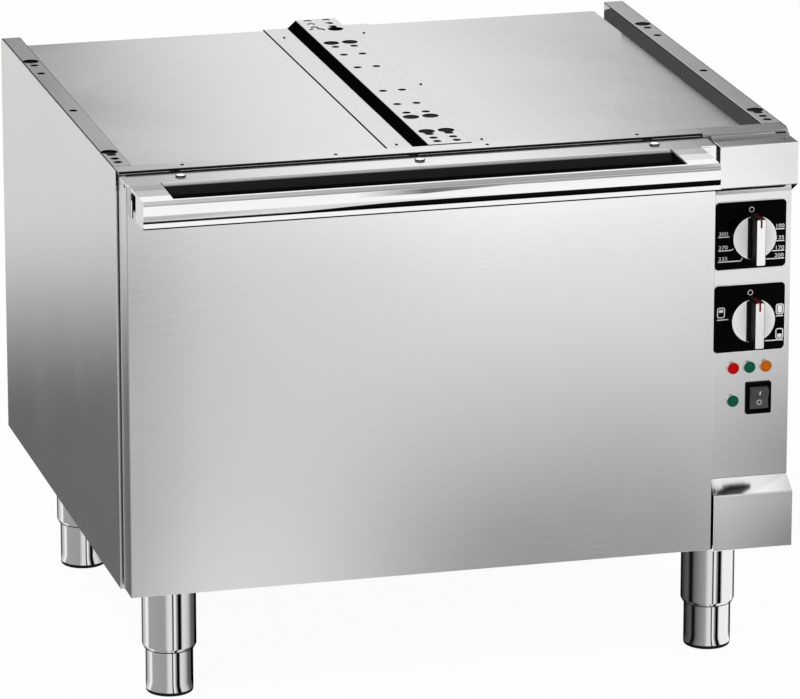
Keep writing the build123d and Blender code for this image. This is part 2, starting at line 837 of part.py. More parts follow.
# Fan wheel: back disc, hub, curved blades, front ring and its shaft
fan_disc_y = cavity_back_y - fan_back_gap
fan_blade_y = fan_disc_y - fan_disc
fan_ring_y = fan_blade_y - fan_blade_height
with BuildSketch() as blade_profile:
    with BuildLine():
        blade_root = (fan_blade_inner, 0)
        blade_tip = (
            fan_blade_outer * math.cos(math.radians(fan_blade_lean)),
            -fan_blade_outer * math.sin(math.radians(fan_blade_lean)),
        )
        blade_middle = (
            (blade_root[0] + blade_tip[0]) / 2 + fan_blade_bow / 2,
            (blade_root[1] + blade_tip[1]) / 2 + fan_blade_bow,
        )
        ThreePointArc(blade_root, blade_middle, blade_tip)
        offset(amount=fan_blade_sheet, side=Side.LEFT)
    make_face()

with BuildPart() as fan_wheel:
    with BuildSketch(cross_plane(fan_disc_y)):
        with Locations((cavity_x, cavity_z)):
            Circle(fan_radius)
    extrude(amount=fan_disc)
    with BuildSketch(cross_plane(fan_disc_y)):
        with Locations((cavity_x, cavity_z)):
            Circle(fan_hub_radius)
    extrude(amount=fan_hub_length)
    with BuildSketch(cross_plane(fan_blade_y)):
        with Locations((cavity_x, cavity_z)):
            with PolarLocations(0, fan_blades):
                add(blade_profile.sketch)
    extrude(amount=fan_blade_height)
    with BuildSketch(cross_plane(fan_ring_y)):
        with Locations((cavity_x, cavity_z)):
            Circle(fan_radius)
            Circle(fan_radius - fan_ring_width, mode=Mode.SUBTRACT)
    extrude(amount=fan_disc)
    with BuildSketch(cross_plane(fan_disc_y)):
        with Locations((cavity_x, cavity_z)):
            Circle(fan_shaft_radius)
    extrude(amount=fan_disc_y - liner_rear_y - fan_shaft_seat)
save(fan_wheel, "fan_wheel")

# Fan motor, its neck through the insulation
with BuildPart() as fan_motor:
    with BuildSketch(cross_plane(liner_rear_y)):
        with Locations((cavity_x, cavity_z)):
            Circle(motor_neck_radius)
    extrude(amount=-insulation_thick)
    with BuildSketch(cross_plane(insulation_rear_y)):
        with Locations((cavity_x, cavity_z)):
            RectangleRounded(motor_flange, motor_flange, motor_flange_corner)
    extrude(amount=-motor_flange_sheet)
    with BuildSketch(cross_plane(insulation_rear_y + motor_flange_sheet)):
        with Locations((cavity_x, cavity_z)):
            Circle(motor_radius)
    extrude(amount=-motor_length)
    with BuildSketch(cross_plane(insulation_rear_y + motor_flange_sheet + motor_length)):
        with Locations((cavity_x, cavity_z)):
            Circle(motor_cap_radius)
    extrude(amount=-motor_cap_length)
    with BuildSketch(cross_plane(liner_rear_y)):
        with Locations((cavity_x, cavity_z)):
            Circle(fan_shaft_radius + running_clearance)
    extrude(amount=-fan_shaft_seat - shaft_end_gap, mode=Mode.SUBTRACT)
save(fan_motor, "fan_motor")

# Fan baffle, a pan over the fan with an intake grille and side outlets
with BuildPart() as fan_baffle:
    block(
        (cavity_x - baffle_half_width, baffle_front_y, cavity_z - baffle_half_height),
        (cavity_x + baffle_half_width, cavity_back_y, cavity_z + baffle_half_height),
    )
    offset(amount=-baffle_sheet, openings=fan_baffle.faces().sort_by(Axis.Y)[-1])
    with BuildSketch(cross_plane(baffle_front_y)):
        with Locations((cavity_x, cavity_z)):
            with PolarLocations(baffle_slot_radius, baffle_slots):
                SlotOverall(baffle_slot_length, baffle_slot_width)
    extrude(amount=2 * baffle_sheet, both=True, mode=Mode.SUBTRACT)
    with BuildSketch(Plane.YZ.offset(cavity_x)):
        with Locations((baffle_front_y + baffle_depth / 2, cavity_z)):
            with GridLocations(0, baffle_window_pitch, 1, baffle_windows):
                Rectangle(baffle_window_depth, baffle_window_height)
    extrude(amount=baffle_half_width + overshoot, both=True, mode=Mode.SUBTRACT)
save(fan_baffle, "fan_baffle")

# Temperature probe with its clips and the capillary to the thermostat
capillary_x = dial_x - capillary_column_offset
capillary_top_z = thermostat_top_z + capillary_rise
with BuildPart() as thermostat_probe:
    with BuildLine() as capillary_path:
        FilletPolyline(
            (bulb_x, bulb_rear_y, bulb_z),
            (bulb_x, capillary_y, bulb_z),
            (capillary_x, capillary_y, bulb_z),
            (capillary_x, capillary_y, capillary_top_z),
            (capillary_x, thermostat_y, capillary_top_z),
            (capillary_x, thermostat_y, thermostat_top_z),
            radius=capillary_bend,
        )
    with BuildSketch(cross_plane(bulb_rear_y)):
        with Locations((bulb_x, bulb_z)):
            Circle(capillary_radius)
    sweep(path=capillary_path.line)
    with BuildSketch(cross_plane(bulb_rear_y)):
        with Locations((bulb_x, bulb_z)):
            Circle(bulb_radius)
    extrude(amount=bulb_length)
    for clip_y in (bulb_rear_y - clip_inset, bulb_rear_y - bulb_length + clip_inset):
        block(
            (bulb_x, clip_y - clip_width / 2, bulb_z - clip_sheet / 2),
            (cavity_right_x, clip_y + clip_width / 2, bulb_z + clip_sheet / 2),
        )
save(thermostat_probe, "thermostat_probe")

# Control panel, bent round the column's front
with BuildPart() as control_panel:
    with BuildSketch(Plane.XY.offset(trim_top_z)):
        with BuildLine():
            FilletPolyline(
                (column_left_x, front_y),
                (column_left_x, panel_y),
                (half_width, panel_y),
                (half_width, front_y),
                radius=panel_bend,
            )
            offset(amount=panel_sheet, side=Side.LEFT)
        make_face()
    extrude(amount=panel_top_z - trim_top_z)
    with BuildSketch(cross_plane(panel_y)):
        with Locations((dial_x, thermostat_z), (dial_x, selector_z)):
            Circle(shaft_hole_radius)
        with Locations(*lamp_places):
            Circle(lens_radius + lamp_hole_gap)
        with Locations((rocker_x, rocker_z)):
            Rectangle(rocker_body_width + 2 * lamp_hole_gap, rocker_body_height + 2 * lamp_hole_gap)
    extrude(amount=2 * panel_sheet, both=True, mode=Mode.SUBTRACT)
save(control_panel, "control_panel")

# Corner cover at the column's top: it slopes in to the control panel below, and a low riser
# closes it under the front strip, apart from a slit at its right end
corner_cover_left_x = column_left_x + corner_cover_inset
with BuildPart() as corner_cover:
    with BuildSketch(Plane.YZ.offset(corner_cover_left_x)):
        with BuildLine():
            Polyline(
                (front_y, panel_top_z),
                (panel_y, panel_top_z),
                (column_front_y, corner_cover_bottom_z),
                (column_front_y, corner_cover_top_z),
                (cover_riser_y, corner_cover_top_z),
                (cover_riser_y, cover_riser_z),
                (front_y, cover_riser_z),
                close=True,
            )
        make_face()
    extrude(amount=half_width - corner_cover_left_x)
    cover_front_edges = corner_cover.edges().filter_by(Axis.Z).group_by(Axis.Y)[0]
    fillet(cover_front_edges.sort_by(Axis.X)[-1], radius=cover_edge)
    offset(amount=-cover_sheet, openings=corner_cover.faces().sort_by(Axis.Y)[-1])
    block(
        (half_width - cover_notch, cover_riser_y, cover_riser_z - cover_notch_height),
        (half_width, front_y, cover_riser_z),
        mode=Mode.SUBTRACT,
    )
save(corner_cover, "corner_cover")

# Lower trim, with a slope up to the control panel
with BuildPart() as lower_trim:
    with BuildSketch(Plane.YZ.offset(column_left_x)):
        with BuildLine():
            Polyline(
                (front_y, base_z),
                (column_front_y, base_z),
                (column_front_y, base_z + trim_front_height),
                (panel_y, trim_top_z),
                (front_y, trim_top_z),
                close=True,
            )
        make_face()
    extrude(amount=column_width)
    offset(amount=-cover_sheet, openings=lower_trim.faces().sort_by(Axis.Y)[-1])
save(lower_trim, "lower_trim")


# Dial plates
def make_dial_plate(z, name):
    """A rounded plate on the control panel with a hole for the knob's shaft."""
    with BuildPart() as plate:
        with BuildSketch(cross_plane(panel_y)):
            with Locations((dial_x, z)):
                RectangleRounded(dial_width, dial_height, dial_corner)
                Circle(shaft_hole_radius, mode=Mode.SUBTRACT)
        extrude(amount=dial_sheet)
    save(plate, name)


make_dial_plate(thermostat_z, "thermostat_plate")
make_dial_plate(selector_z, "selector_plate")


# Knobs
def make_knob(z, name):
    """A round skirt with an upright grip bar, and the shaft that it turns."""
    with BuildPart() as knob:
        with BuildSketch(cross_plane(knob_y)):
            with Locations((dial_x, z)):
                Circle(knob_radius)
        extrude(amount=knob_skirt)
        fillet(knob.faces().sort_by(Axis.Y)[0].edges(), radius=knob_edge)
        with BuildSketch(cross_plane(knob_y - knob_skirt / 2)):
            with Locations((dial_x, z)):
                Rectangle(knob_grip_width, knob_grip_length)
        extrude(amount=knob_skirt / 2 + knob_grip_height)
        fillet(knob.faces().sort_by(Axis.Y)[0].edges(), radius=knob_edge)
        with BuildSketch(cross_plane(knob_y)):
            with Locations((dial_x, z)):
                Circle(shaft_radius)
        extrude(amount=knob_y - switch_y - shaft_depth)
    save(knob, name)


make_knob(thermostat_z, "thermostat_knob")
make_knob(selector_z, "selector_knob")


# Switch bodies behind the panel
def make_switch_body(z, size, depth, name):
    """A switch housing with a bore for the knob's shaft."""
    with BuildPart() as body:
        with BuildSketch(cross_plane(switch_y)):
            with Locations((dial_x, z)):
                RectangleRounded(size, size, switch_corner)
        extrude(amount=-depth)
        with BuildSketch(cross_plane(switch_y)):
            with Locations((dial_x, z)):
                Circle(shaft_radius + running_clearance)
        extrude(amount=-shaft_depth - shaft_end_gap, mode=Mode.SUBTRACT)
    save(body, name)


make_switch_body(thermostat_z, thermostat_size, thermostat_depth, "thermostat_body")
make_switch_body(selector_z, selector_size, selector_depth, "selector_body")


# Indicator lamps
def make_lamps(places, name):
    """Lamps through the panel, each a plain barrel with a low conical lens."""
    with BuildPart() as lamps:
        with BuildSketch(cross_plane(panel_y + lamp_body_depth)):
            with Locations(*places):
                Circle(lens_radius)
        extrude(amount=lamp_body_depth + lens_rise)
        chamfer(lamps.faces().group_by(Axis.Y)[0].edges(), length=lens_edge)
    save(lamps, name)


make_lamps([red_lamp], "lamp_red")
make_lamps([green_lamp, fan_lamp], "lamps_green")
make_lamps([orange_lamp], "lamp_orange")

with BuildPart() as lamp_bezels:
    with BuildSketch(cross_plane(panel_y)):
        with Locations(*lamp_places):
            Circle(bezel_radius)
            Circle(lens_radius, mode=Mode.SUBTRACT)
    extrude(amount=bezel_height)
save(lamp_bezels, "lamp_bezels")

# Rocker switch
with BuildPart() as rocker_frame:
    with BuildSketch(cross_plane(panel_y)):
        with Locations((rocker_x, rocker_z)):
            RectangleRounded(rocker_frame_width, rocker_frame_height, rocker_frame_edge)
    extrude(amount=rocker_frame_proud)
    with BuildSketch(cross_plane(panel_y)):
        with Locations((rocker_x, rocker_z)):
            Rectangle(rocker_body_width, rocker_body_height)
    extrude(amount=-rocker_body_depth)
    with BuildSketch(cross_plane(panel_y - rocker_frame_proud)):
        with Locations((rocker_x, rocker_z)):
            Rectangle(rocker_well_width, rocker_well_height)
    extrude(
        amount=-rocker_frame_proud - rocker_pivot_back - rocker_well_depth, mode=Mode.SUBTRACT
    )
save(rocker_frame, "rocker_frame")

tilt = math.radians(rocker_tilt)
rocker_plane = Plane(
    origin=(rocker_x - rocker_width / 2, panel_y + rocker_pivot_back, rocker_z),
    x_dir=(0, math.cos(tilt), math.sin(tilt)),
    z_dir=(1, 0, 0),
)
rocker_tip_rise = math.sqrt(rocker_radius**2 - rocker_tip_reach**2)
rocker_tail_rise = math.sqrt(rocker_radius**2 - rocker_tail**2)
with BuildPart() as rocker_button:
    with BuildSketch(rocker_plane):
        with BuildLine():
            Polyline(
                (-rocker_tip_reach, rocker_tip_rise),
                (-rocker_valley, 0),
                (-rocker_tip_reach, -rocker_tip_rise),
            )
            ThreePointArc(
                (-rocker_tip_reach, -rocker_tip_rise),
                (0, -rocker_radius),
                (rocker_tail, -rocker_tail_rise),
            )
            Line((rocker_tail, -rocker_tail_rise), (rocker_tail, rocker_tail_rise))
            ThreePointArc(
                (rocker_tail, rocker_tail_rise),
                (0, rocker_radius),
                (-rocker_tip_reach, rocker_tip_rise),
            )
        make_face()
    extrude(amount=rocker_width)
save(rocker_button, "rocker_button")

# Terminal block on the partition and the cable gland in the base pan
terminal_left_x = partition_x + partition_sheet
terminal_right_x = terminal_left_x + terminal_width
terminal_y = side_rear_y - terminal_rear_inset
terminal_z = base_z + terminal_rise
with BuildPart() as terminal_block:
    block(
        (terminal_left_x, terminal_y - terminal_length / 2, terminal_z - terminal_height / 2),
        (terminal_right_x, terminal_y + terminal_length / 2, terminal_z + terminal_height / 2),
    )
    with BuildSketch(Plane.YZ.offset(terminal_right_x)):
        with Locations((terminal_y, terminal_z)):
            with GridLocations(terminal_length / terminal_poles, 0, terminal_poles, 1):
                Rectangle(terminal_slot, terminal_height - 2 * terminal_slot_depth)
    extrude(amount=-terminal_slot_depth, mode=Mode.SUBTRACT)
save(terminal_block, "terminal_block")

with BuildPart() as cable_gland:
    with BuildSketch(cross_plane(gland_y)):
        with BuildLine():
            Polyline(
                (gland_x + gland_bore, base_z - gland_length),
                (gland_x + gland_radius, base_z - gland_length),
                (gland_x + gland_radius, base_z - gland_collar_length),
                (gland_x + gland_collar, base_z - gland_collar_length),
                (gland_x + gland_collar, base_z),
                (gland_x + gland_radius, base_z),
                (gland_x + gland_radius, base_z + casing_sheet),
                (gland_x + gland_collar, base_z + casing_sheet),
                (gland_x + gland_collar, base_z + casing_sheet + gland_nut_length),
                (gland_x + gland_bore, base_z + casing_sheet + gland_nut_length),
                close=True,
            )
        make_face()
    revolve(axis=Axis((gland_x, gland_y, 0), (0, 0, 1)))
save(cable_gland, "cable_gland")


# Hinges: a lug and pin on the body, an arm inside the door
def make_hinge_bracket(x, name):
    """A plate on the base pan's front with a lug and a cross pin."""
    plate_rear_y = front_y + casing_sheet
    plate_front_y = plate_rear_y - hinge_plate_sheet
    with BuildPart() as bracket:
        block(
            (x - hinge_plate_width / 2, plate_front_y, base_z + casing_sheet),
            (x + hinge_plate_width / 2, plate_rear_y, base_z + casing_sheet + hinge_plate_height),
        )
        with BuildSketch(Plane.YZ.offset(x)):
            with Locations((hinge_axis_y, hinge_axis_z)):
                Circle(hinge_lug_radius)
            with Locations(((hinge_axis_y + plate_front_y) / 2, hinge_axis_z)):
                Rectangle(plate_front_y - hinge_axis_y, 2 * hinge_lug_radius)
        extrude(amount=hinge_lug_half, both=True)
        with BuildSketch(Plane.YZ.offset(x)):
            with Locations((hinge_axis_y, hinge_axis_z)):
                Circle(hinge_pin_radius)
        extrude(amount=hinge_pin_length / 2, both=True)
    save(bracket, name)


make_hinge_bracket(hinge_places[0], "hinge_bracket_left")
make_hinge_bracket(hinge_places[1], "hinge_bracket_right")


def make_hinge_arm(x, name):
    """A forked arm inside the door that turns on the hinge pin."""
    arm_half = hinge_slot_half + hinge_cheek
    with BuildPart() as arm:
        block(
            (x - arm_half, inner_panel_y - hinge_arm_depth, door_bottom_z + casing_sheet),
            (x + arm_half, inner_panel_y, hinge_arm_top_z),
        )
        block(
            (x - hinge_slot_half, hinge_slot_front_y, door_bottom_z),
            (x + hinge_slot_half, front_y, hinge_slot_top_z),
            mode=Mode.SUBTRACT,
        )
        with BuildSketch(Plane.YZ.offset(x)):
            with Locations((hinge_axis_y, hinge_axis_z)):
                Circle(hinge_pin_radius + running_clearance)
        extrude(amount=hinge_pin_length, both=True, mode=Mode.SUBTRACT)
    save(arm, name)


make_hinge_arm(hinge_places[0], "hinge_arm_left")
make_hinge_arm(hinge_places[1], "hinge_arm_right")


def cut_hinge_slots():
    """Cut the door sheets where the hinge lugs pass."""
    for x in hinge_places:
        block(
            (x - hinge_slot_half, hinge_slot_front_y, door_bottom_z - overshoot),
            (x + hinge_slot_half, front_y, hinge_slot_top_z),
            mode=Mode.SUBTRACT,
        )


# Door skin, a pan with bent front edges
with BuildPart() as door_skin:
    block(
        (door_left_x, door_front_y, door_bottom_z),
        (door_right_x, inner_panel_y, door_top_z),
    )
    fillet(door_skin.edges().filter_by(Axis.Z).group_by(Axis.Y)[0], radius=door_bend)
    offset(amount=-casing_sheet, openings=door_skin.faces().sort_by(Axis.Y)[-1])
    cut_hinge_slots()
save(door_skin, "door_skin")

# Door inner panel with a shallow pressed pad that faces the oven mouth
pad_width = cavity_width - 2 * door_pad_inset
pad_height = cavity_height - 2 * door_pad_inset
with BuildPart() as door_inner_panel:
    block(
        (door_left_x, inner_panel_y, door_bottom_z),
        (door_right_x, door_rear_y, door_bar_z),
    )
    block(
        (door_left_x, door_rear_y - door_top_bar_depth, door_top_z),
        (door_right_x, door_rear_y, door_bar_z),
    )
    with BuildSketch(cross_plane(door_rear_y)):
        with Locations((cavity_x, cavity_z)):
            RectangleRounded(pad_width, pad_height, cavity_corner)
    extrude(amount=-door_pad_height)
    with BuildSketch(cross_plane(inner_panel_y)):
        with Locations((cavity_x, cavity_z)):
            RectangleRounded(
                pad_width - 2 * inner_panel_sheet,
                pad_height - 2 * inner_panel_sheet,
                cavity_corner - inner_panel_sheet,
            )
    extrude(amount=-door_pad_height, mode=Mode.SUBTRACT)
    cut_hinge_slots()
save(door_inner_panel, "door_inner_panel")

# Door insulation above the hinge arms
with BuildPart() as door_insulation:
    block(
        (door_left_x + door_bend, door_front_y + casing_sheet, hinge_arm_top_z),
        (door_right_x - door_bend, inner_panel_y, door_top_z - casing_sheet),
    )
save(door_insulation, "door_insulation")

# Door gasket round the oven mouth
with BuildPart() as door_gasket:
    with BuildSketch(cross_plane(front_y - gasket_gap)):
        with Locations((cavity_x, cavity_z)):
            RectangleRounded(
                cavity_width + 2 * (gasket_inset + gasket_width),
                cavity_height + 2 * (gasket_inset + gasket_width),
                cavity_corner + gasket_inset + gasket_width,
            )
            RectangleRounded(
                cavity_width + 2 * gasket_inset,
                cavity_height + 2 * gasket_inset,
                cavity_corner + gasket_inset,
                mode=Mode.SUBTRACT,
            )
    extrude(amount=door_standoff - gasket_gap)
save(door_gasket, "door_gasket")

# Handle: one folded sheet from the door's top to a hemmed front skirt, slotted for the hand,
# with a lip rolled down behind the slot and an end plate at each side
handle_left_x = door_left_x + handle_left_inset
handle_right_x = door_right_x - handle_right_inset
handle_flange_z = door_bar_z + handle_sheet
handle_nose_z = handle_flange_z - handle_nose_drop
handle_bottom_z = handle_flange_z - handle_drop
handle_front_y = front_y - handle_reach
handle_nose_y = handle_front_y + handle_hem_step
handle_bend_y = door_rear_y - handle_flat
handle_fold_y = handle_bend_y - handle_fold_run
handle_slope_y = handle_fold_y - handle_fold_run
grip_rear_y = door_front_y - grip_rear_gap
grip_front_y = handle_nose_y + grip_front_wall
grip_left_x = handle_left_x + grip_end
grip_right_x = handle_right_x - grip_end
handle_screw_y = door_rear_y - handle_screw_place


def handle_top_line(rear_y):
    """The handle's upper side, from a rear edge over its folds and nose to the hem."""
    slope_end = (handle_slope_y, handle_flange_z - handle_slope_drop)
    Polyline(
        (rear_y, handle_flange_z),
        (handle_bend_y, handle_flange_z),
        (handle_fold_y, handle_flange_z - handle_fold_drop),
        slope_end,
    )
    FilletPolyline(
        slope_end,
        (handle_nose_y, handle_nose_z),
        (handle_nose_y, handle_bottom_z),
        radius=handle_nose_radius,
    )


with BuildPart() as door_handle:
    with BuildSketch(Plane.YZ.offset(door_left_x)):
        with BuildLine():
            handle_top_line(door_rear_y - handle_rear_gap)
            offset(amount=handle_sheet, side=Side.LEFT)
        make_face()
    extrude(amount=door_right_x - door_left_x)
    for low_x, high_x in ((door_left_x, handle_left_x), (handle_right_x, door_right_x)):
        block(
            (low_x, handle_front_y, handle_bottom_z),
            (high_x, door_front_y, handle_flange_z),
            mode=Mode.SUBTRACT,
        )
    block(
        (handle_left_x, handle_front_y, handle_bottom_z),
        (handle_right_x, handle_nose_y + 2 * handle_sheet, handle_bottom_z + handle_hem_height),
    )
    for end_x, step in ((handle_left_x, handle_tab_sheet), (handle_right_x, -handle_tab_sheet)):
        with BuildSketch(Plane.YZ.offset(end_x)):
            with BuildLine():
                handle_top_line(door_front_y)
                Polyline(
                    (handle_nose_y, handle_bottom_z),
                    (door_front_y, handle_bottom_z - handle_end_slope),
                    (door_front_y, handle_flange_z),
                )
            make_face()
        extrude(amount=step)
        block(
            (end_x, handle_front_y + handle_tab_depth, handle_bottom_z - handle_end_slope),
            (end_x + step, door_front_y - handle_leg_depth, handle_nose_z - handle_sheet),
            mode=Mode.SUBTRACT,
        )
    with BuildSketch(Plane.XY.offset(handle_flange_z + overshoot)):
        with Locations(((grip_left_x + grip_right_x) / 2, (grip_rear_y + grip_front_y) / 2)):
            RectangleRounded(grip_right_x - grip_left_x, grip_rear_y - grip_front_y, grip_corner)
    extrude(amount=-2 * overshoot - handle_nose_drop - handle_sheet, mode=Mode.SUBTRACT)
    with BuildSketch(Plane.YZ.offset(grip_left_x + grip_corner)):
        with BuildLine():
            lip_middle = (grip_rear_y, handle_flange_z - grip_lip)
            lip_outside = CenterArc(lip_middle, grip_lip, 90, 90)
            lip_inside = CenterArc(lip_middle, grip_lip - handle_sheet, 90, 90)
            Line(lip_outside @ 0, lip_inside @ 0)
            Line(lip_outside @ 1, lip_inside @ 1)
        make_face()
    extrude(amount=grip_right_x - grip_left_x - 2 * grip_corner)
    with Locations((door_middle_x, handle_screw_y, handle_flange_z)):
        with GridLocations(handle_screw_pitch, 0, 3, 1):
            Hole(handle_screw_shank + clearance, depth=2 * handle_sheet)
save(door_handle, "door_handle")

# Handle screws, round heads on the door's top
with BuildPart() as handle_screws:
    with Locations((door_middle_x, handle_screw_y, door_bar_z)):
        with GridLocations(handle_screw_pitch, 0, 3, 1):
            Cylinder(handle_screw_shank, handle_sheet + handle_screw_rise, align=head_base)
    with Locations((door_middle_x, handle_screw_y, handle_flange_z)):
        with GridLocations(handle_screw_pitch, 0, 3, 1):
            Cylinder(handle_screw_head, handle_screw_rise, align=head_base)
    fillet(handle_screws.faces().group_by(Axis.Z)[-1].edges(), radius=handle_screw_edge)
save(handle_screws, "handle_screws")


# Legs and feet
def make_leg(x, y, name):
    """A tube under a mounting plate, necked at the bottom to guide the foot."""
    neck_z = base_z - leg_tube_length
    shoulder_z = neck_z + leg_neck_height
    guide_z = neck_z + leg_guide_height
    plate_z = base_z - leg_plate_sheet
    guide_radius = foot_radius + foot_clearance
    with BuildPart() as leg:
        with BuildSketch(cross_plane(y)):
            with BuildLine():
                Polyline(
                    (x + guide_radius, neck_z),
                    (x + leg_neck_radius, neck_z),
                    (x + leg_neck_radius, shoulder_z),
                    (x + leg_radius, shoulder_z + leg_radius - leg_neck_radius),
                    (x + leg_radius, plate_z),
                    (x + leg_radius - leg_wall, plate_z),
                    (x + leg_radius - leg_wall, guide_z),
                    (x + guide_radius, guide_z),
                    close=True,
                )
            make_face()
        revolve(axis=Axis((x, y, 0), (0, 0, 1)))
        with BuildSketch(Plane.XY.offset(plate_z)):
            with Locations((x, y)):
                RectangleRounded(leg_plate, leg_plate, leg_plate_corner)
        extrude(amount=leg_plate_sheet)
    save(leg, name)


def make_foot(x, y, name):
    """A hollow foot that slides in the leg, with a pad on the floor."""
    foot_top_z = base_z - leg_tube_length + foot_inside
    with BuildPart() as foot:
        with BuildSketch(cross_plane(y)):
            with BuildLine():
                Polyline(
                    (x, 0),
                    (x + foot_pad_radius, 0),
                    (x + foot_pad_radius, foot_pad_height),
                    (x + foot_radius, foot_pad_height),
                    (x + foot_radius, foot_top_z),
                    (x + foot_radius - foot_wall, foot_top_z),
                    (x + foot_radius - foot_wall, foot_floor),
                    (x, foot_floor),
                    close=True,
                )
            make_face()
        revolve(axis=Axis((x, y, 0), (0, 0, 1)))
    save(foot, name)


leg_x = half_width - leg_side_inset
leg_rows = (("front", front_y + leg_front_inset), ("rear", side_rear_y - leg_rear_inset))
for row, row_y in leg_rows:
    for hand, leg_side_x in (("left", -leg_x), ("right", leg_x)):
        make_leg(leg_side_x, row_y, f"leg_{row}_{hand}")
        make_foot(leg_side_x, row_y, f"foot_{row}_{hand}")
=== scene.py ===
import json
import math

import bmesh
import bpy
from mathutils import Matrix, Vector


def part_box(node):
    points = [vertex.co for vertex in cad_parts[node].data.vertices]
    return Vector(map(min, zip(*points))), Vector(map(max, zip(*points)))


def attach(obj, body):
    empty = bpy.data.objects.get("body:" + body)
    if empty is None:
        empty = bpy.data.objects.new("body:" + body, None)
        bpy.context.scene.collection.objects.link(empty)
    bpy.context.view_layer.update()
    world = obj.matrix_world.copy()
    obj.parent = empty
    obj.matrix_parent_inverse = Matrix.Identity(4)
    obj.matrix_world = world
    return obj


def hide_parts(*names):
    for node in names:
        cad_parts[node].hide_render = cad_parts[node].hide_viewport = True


# Convection oven base: the finish of every surface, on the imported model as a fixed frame.
# Everything is in metres in the frame's own axes: X right, Y back, Z up, floor at zero.
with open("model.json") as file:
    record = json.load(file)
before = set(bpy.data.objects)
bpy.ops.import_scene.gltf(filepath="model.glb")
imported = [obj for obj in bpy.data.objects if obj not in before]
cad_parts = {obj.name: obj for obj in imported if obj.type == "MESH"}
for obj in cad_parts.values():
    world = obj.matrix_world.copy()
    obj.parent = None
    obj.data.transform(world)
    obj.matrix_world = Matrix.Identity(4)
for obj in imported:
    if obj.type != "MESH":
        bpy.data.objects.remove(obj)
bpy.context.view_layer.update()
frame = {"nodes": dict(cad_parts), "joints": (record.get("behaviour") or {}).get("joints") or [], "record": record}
nodes = frame["nodes"]
bodies = frame["record"]["behaviour"]["bodies"]
pivots = {joint["name"]: Vector(joint["pos_m"]) for joint in frame["joints"] if "pos_m" in joint}
body_of_node = {node: body for body, members in bodies.items() for node in members}
slot_of_node = {name: node.data.materials[0].name for name, node in nodes.items()}
mm = 0.001

# Camera: the photograph's station, as seen from the front left and from above
camera_eye = (-1.78866, -6.83175, 2.40263)
camera_forward = (0.2443987, 0.9276814, -0.2822704)
camera_right = (0.9669986, -0.2547816, -0.0000812)
camera_lens = 274.2
camera_sensor = 36.0
camera_reach = 100.0

# Sheet folds and edges
weld = 1e-6
sharp = math.radians(30)
flat = math.radians(0.5)  # faces that meet flatter than this are joined
fold_radius = 1.0 * mm
slight_radius = 0.35 * mm
handle_radius = 0.6 * mm
oven_radius = 0.8 * mm
gasket_radius = 1.5 * mm
fold_steps = 3
rim_width = 2.6 * mm      # a face narrower than this is a sheet's cut edge
lathe_steps = 96
unreflected = ("centre_rail", "top_rail_right", "front_top_strip")

# Handle, as on the model, with a crowned front that is undercut above the hem
handle_left_inset = 2.7 * mm
handle_right_inset = 18.3 * mm
handle_drop = 31.0 * mm
handle_hem_height = 6.5 * mm
handle_hem_step = 1.5 * mm
handle_hem_lean = 0.4 * mm
handle_longer = 1.7 * mm
handle_nose_radius = 6.0 * mm
handle_nose_drop = 2.1 * mm
handle_fall_run = 66.0 * mm
handle_crown = 0.4 * mm
handle_crown_steps = 14
handle_undercut = 1.6 * mm
handle_undercut_height = 3.2 * mm
handle_skirt_depth = 3.0 * mm
shallow_fold = math.radians(4)
slight_fold = math.radians(0.4)

# Strips, in millimetres: beads on upright edges, a tab on the door, and near-black strips of painted shade over
# the front strip's edge and under the rails
bead_reach = 6.2
bead_proud = 0.03
door_bead_past = 0.4
tab_inset = 0.8
tab_depth = 30.0
tab_sheet = 1.0
door_tab_gap = 1.7
shade_line_sheet = 0.3
shade_line_cover = 3.4
shade_line_upper_depth = 1.7
shade_line_lower_top = 2.1
shade_line_depth = 3.0
shade_line_stop_width = 2.0
shade_line_end = 293.9
gap_strip = ((300.8, -330.0), (302.4, -304.0))
gap_strip_rise = 0.5
shade_sheet_levels = (3.2, 1.8)
rail_shade_sheets = (         # rail, half width, and gaps in front and behind
    ("top_rail_left", 9.6, 3.0, 3.0),
    ("top_rail_right", 9.6, 3.0, 3.0),
    ("centre_rail", 23.0, 6.0, 104.0),
)

# Knobs, as on the model: skirt, grip bar, disc, cap and pointer
knob_radius = 27.0 * mm
knob_skirt = 13.0 * mm
knob_grip_width = 11.5 * mm
knob_grip_length = 56.0 * mm
knob_grip_height = 24.0 * mm
knob_grip_corner = 1.2 * mm
knob_flare = 3.2 * mm
knob_flare_length = 49.0 * mm
knob_flare_height = 5.0 * mm
knob_taper = 0.4 * mm
knob_round = 0.7 * mm
knob_disc_radius = 26.2 * mm
knob_disc_sheet = 0.35 * mm
knob_cap_margin = 0.5 * mm
knob_cap_sheet = 0.5 * mm
knob_cap_corner = 1.6 * mm
knob_cap_ease = 0.3 * mm
pointer_width = 2.4 * mm
pointer_length = 10.0 * mm
pointer_sheet = 0.12 * mm
shaft_radius = 3.0 * mm

# Dial plates and their marks
plate_corner = 5.0 * mm
plate_ease = 0.35 * mm
plate_border = 1.1 * mm
plate_border_depth = 0.55
plate_reach = 1.7 * mm
mark_sheet = 0.12 * mm
mark_line = 1.3 * mm
digit_height = 4.4 * mm
digit_share = 0.7         # a figure's height as a share of its type size
digit_stretch = 1.22
zero_height = 30.6 * mm   # ring over a knob, above the dial's middle
zero_radius = 3.2 * mm
zero_line = 0.7 * mm
icon_width = 9.6 * mm
icon_height = 12.8 * mm
icon_corner = 2.6 * mm
icon_line = 1.2 * mm
icon_inner_width = 5.2 * mm
icon_inner_corner = 0.8 * mm

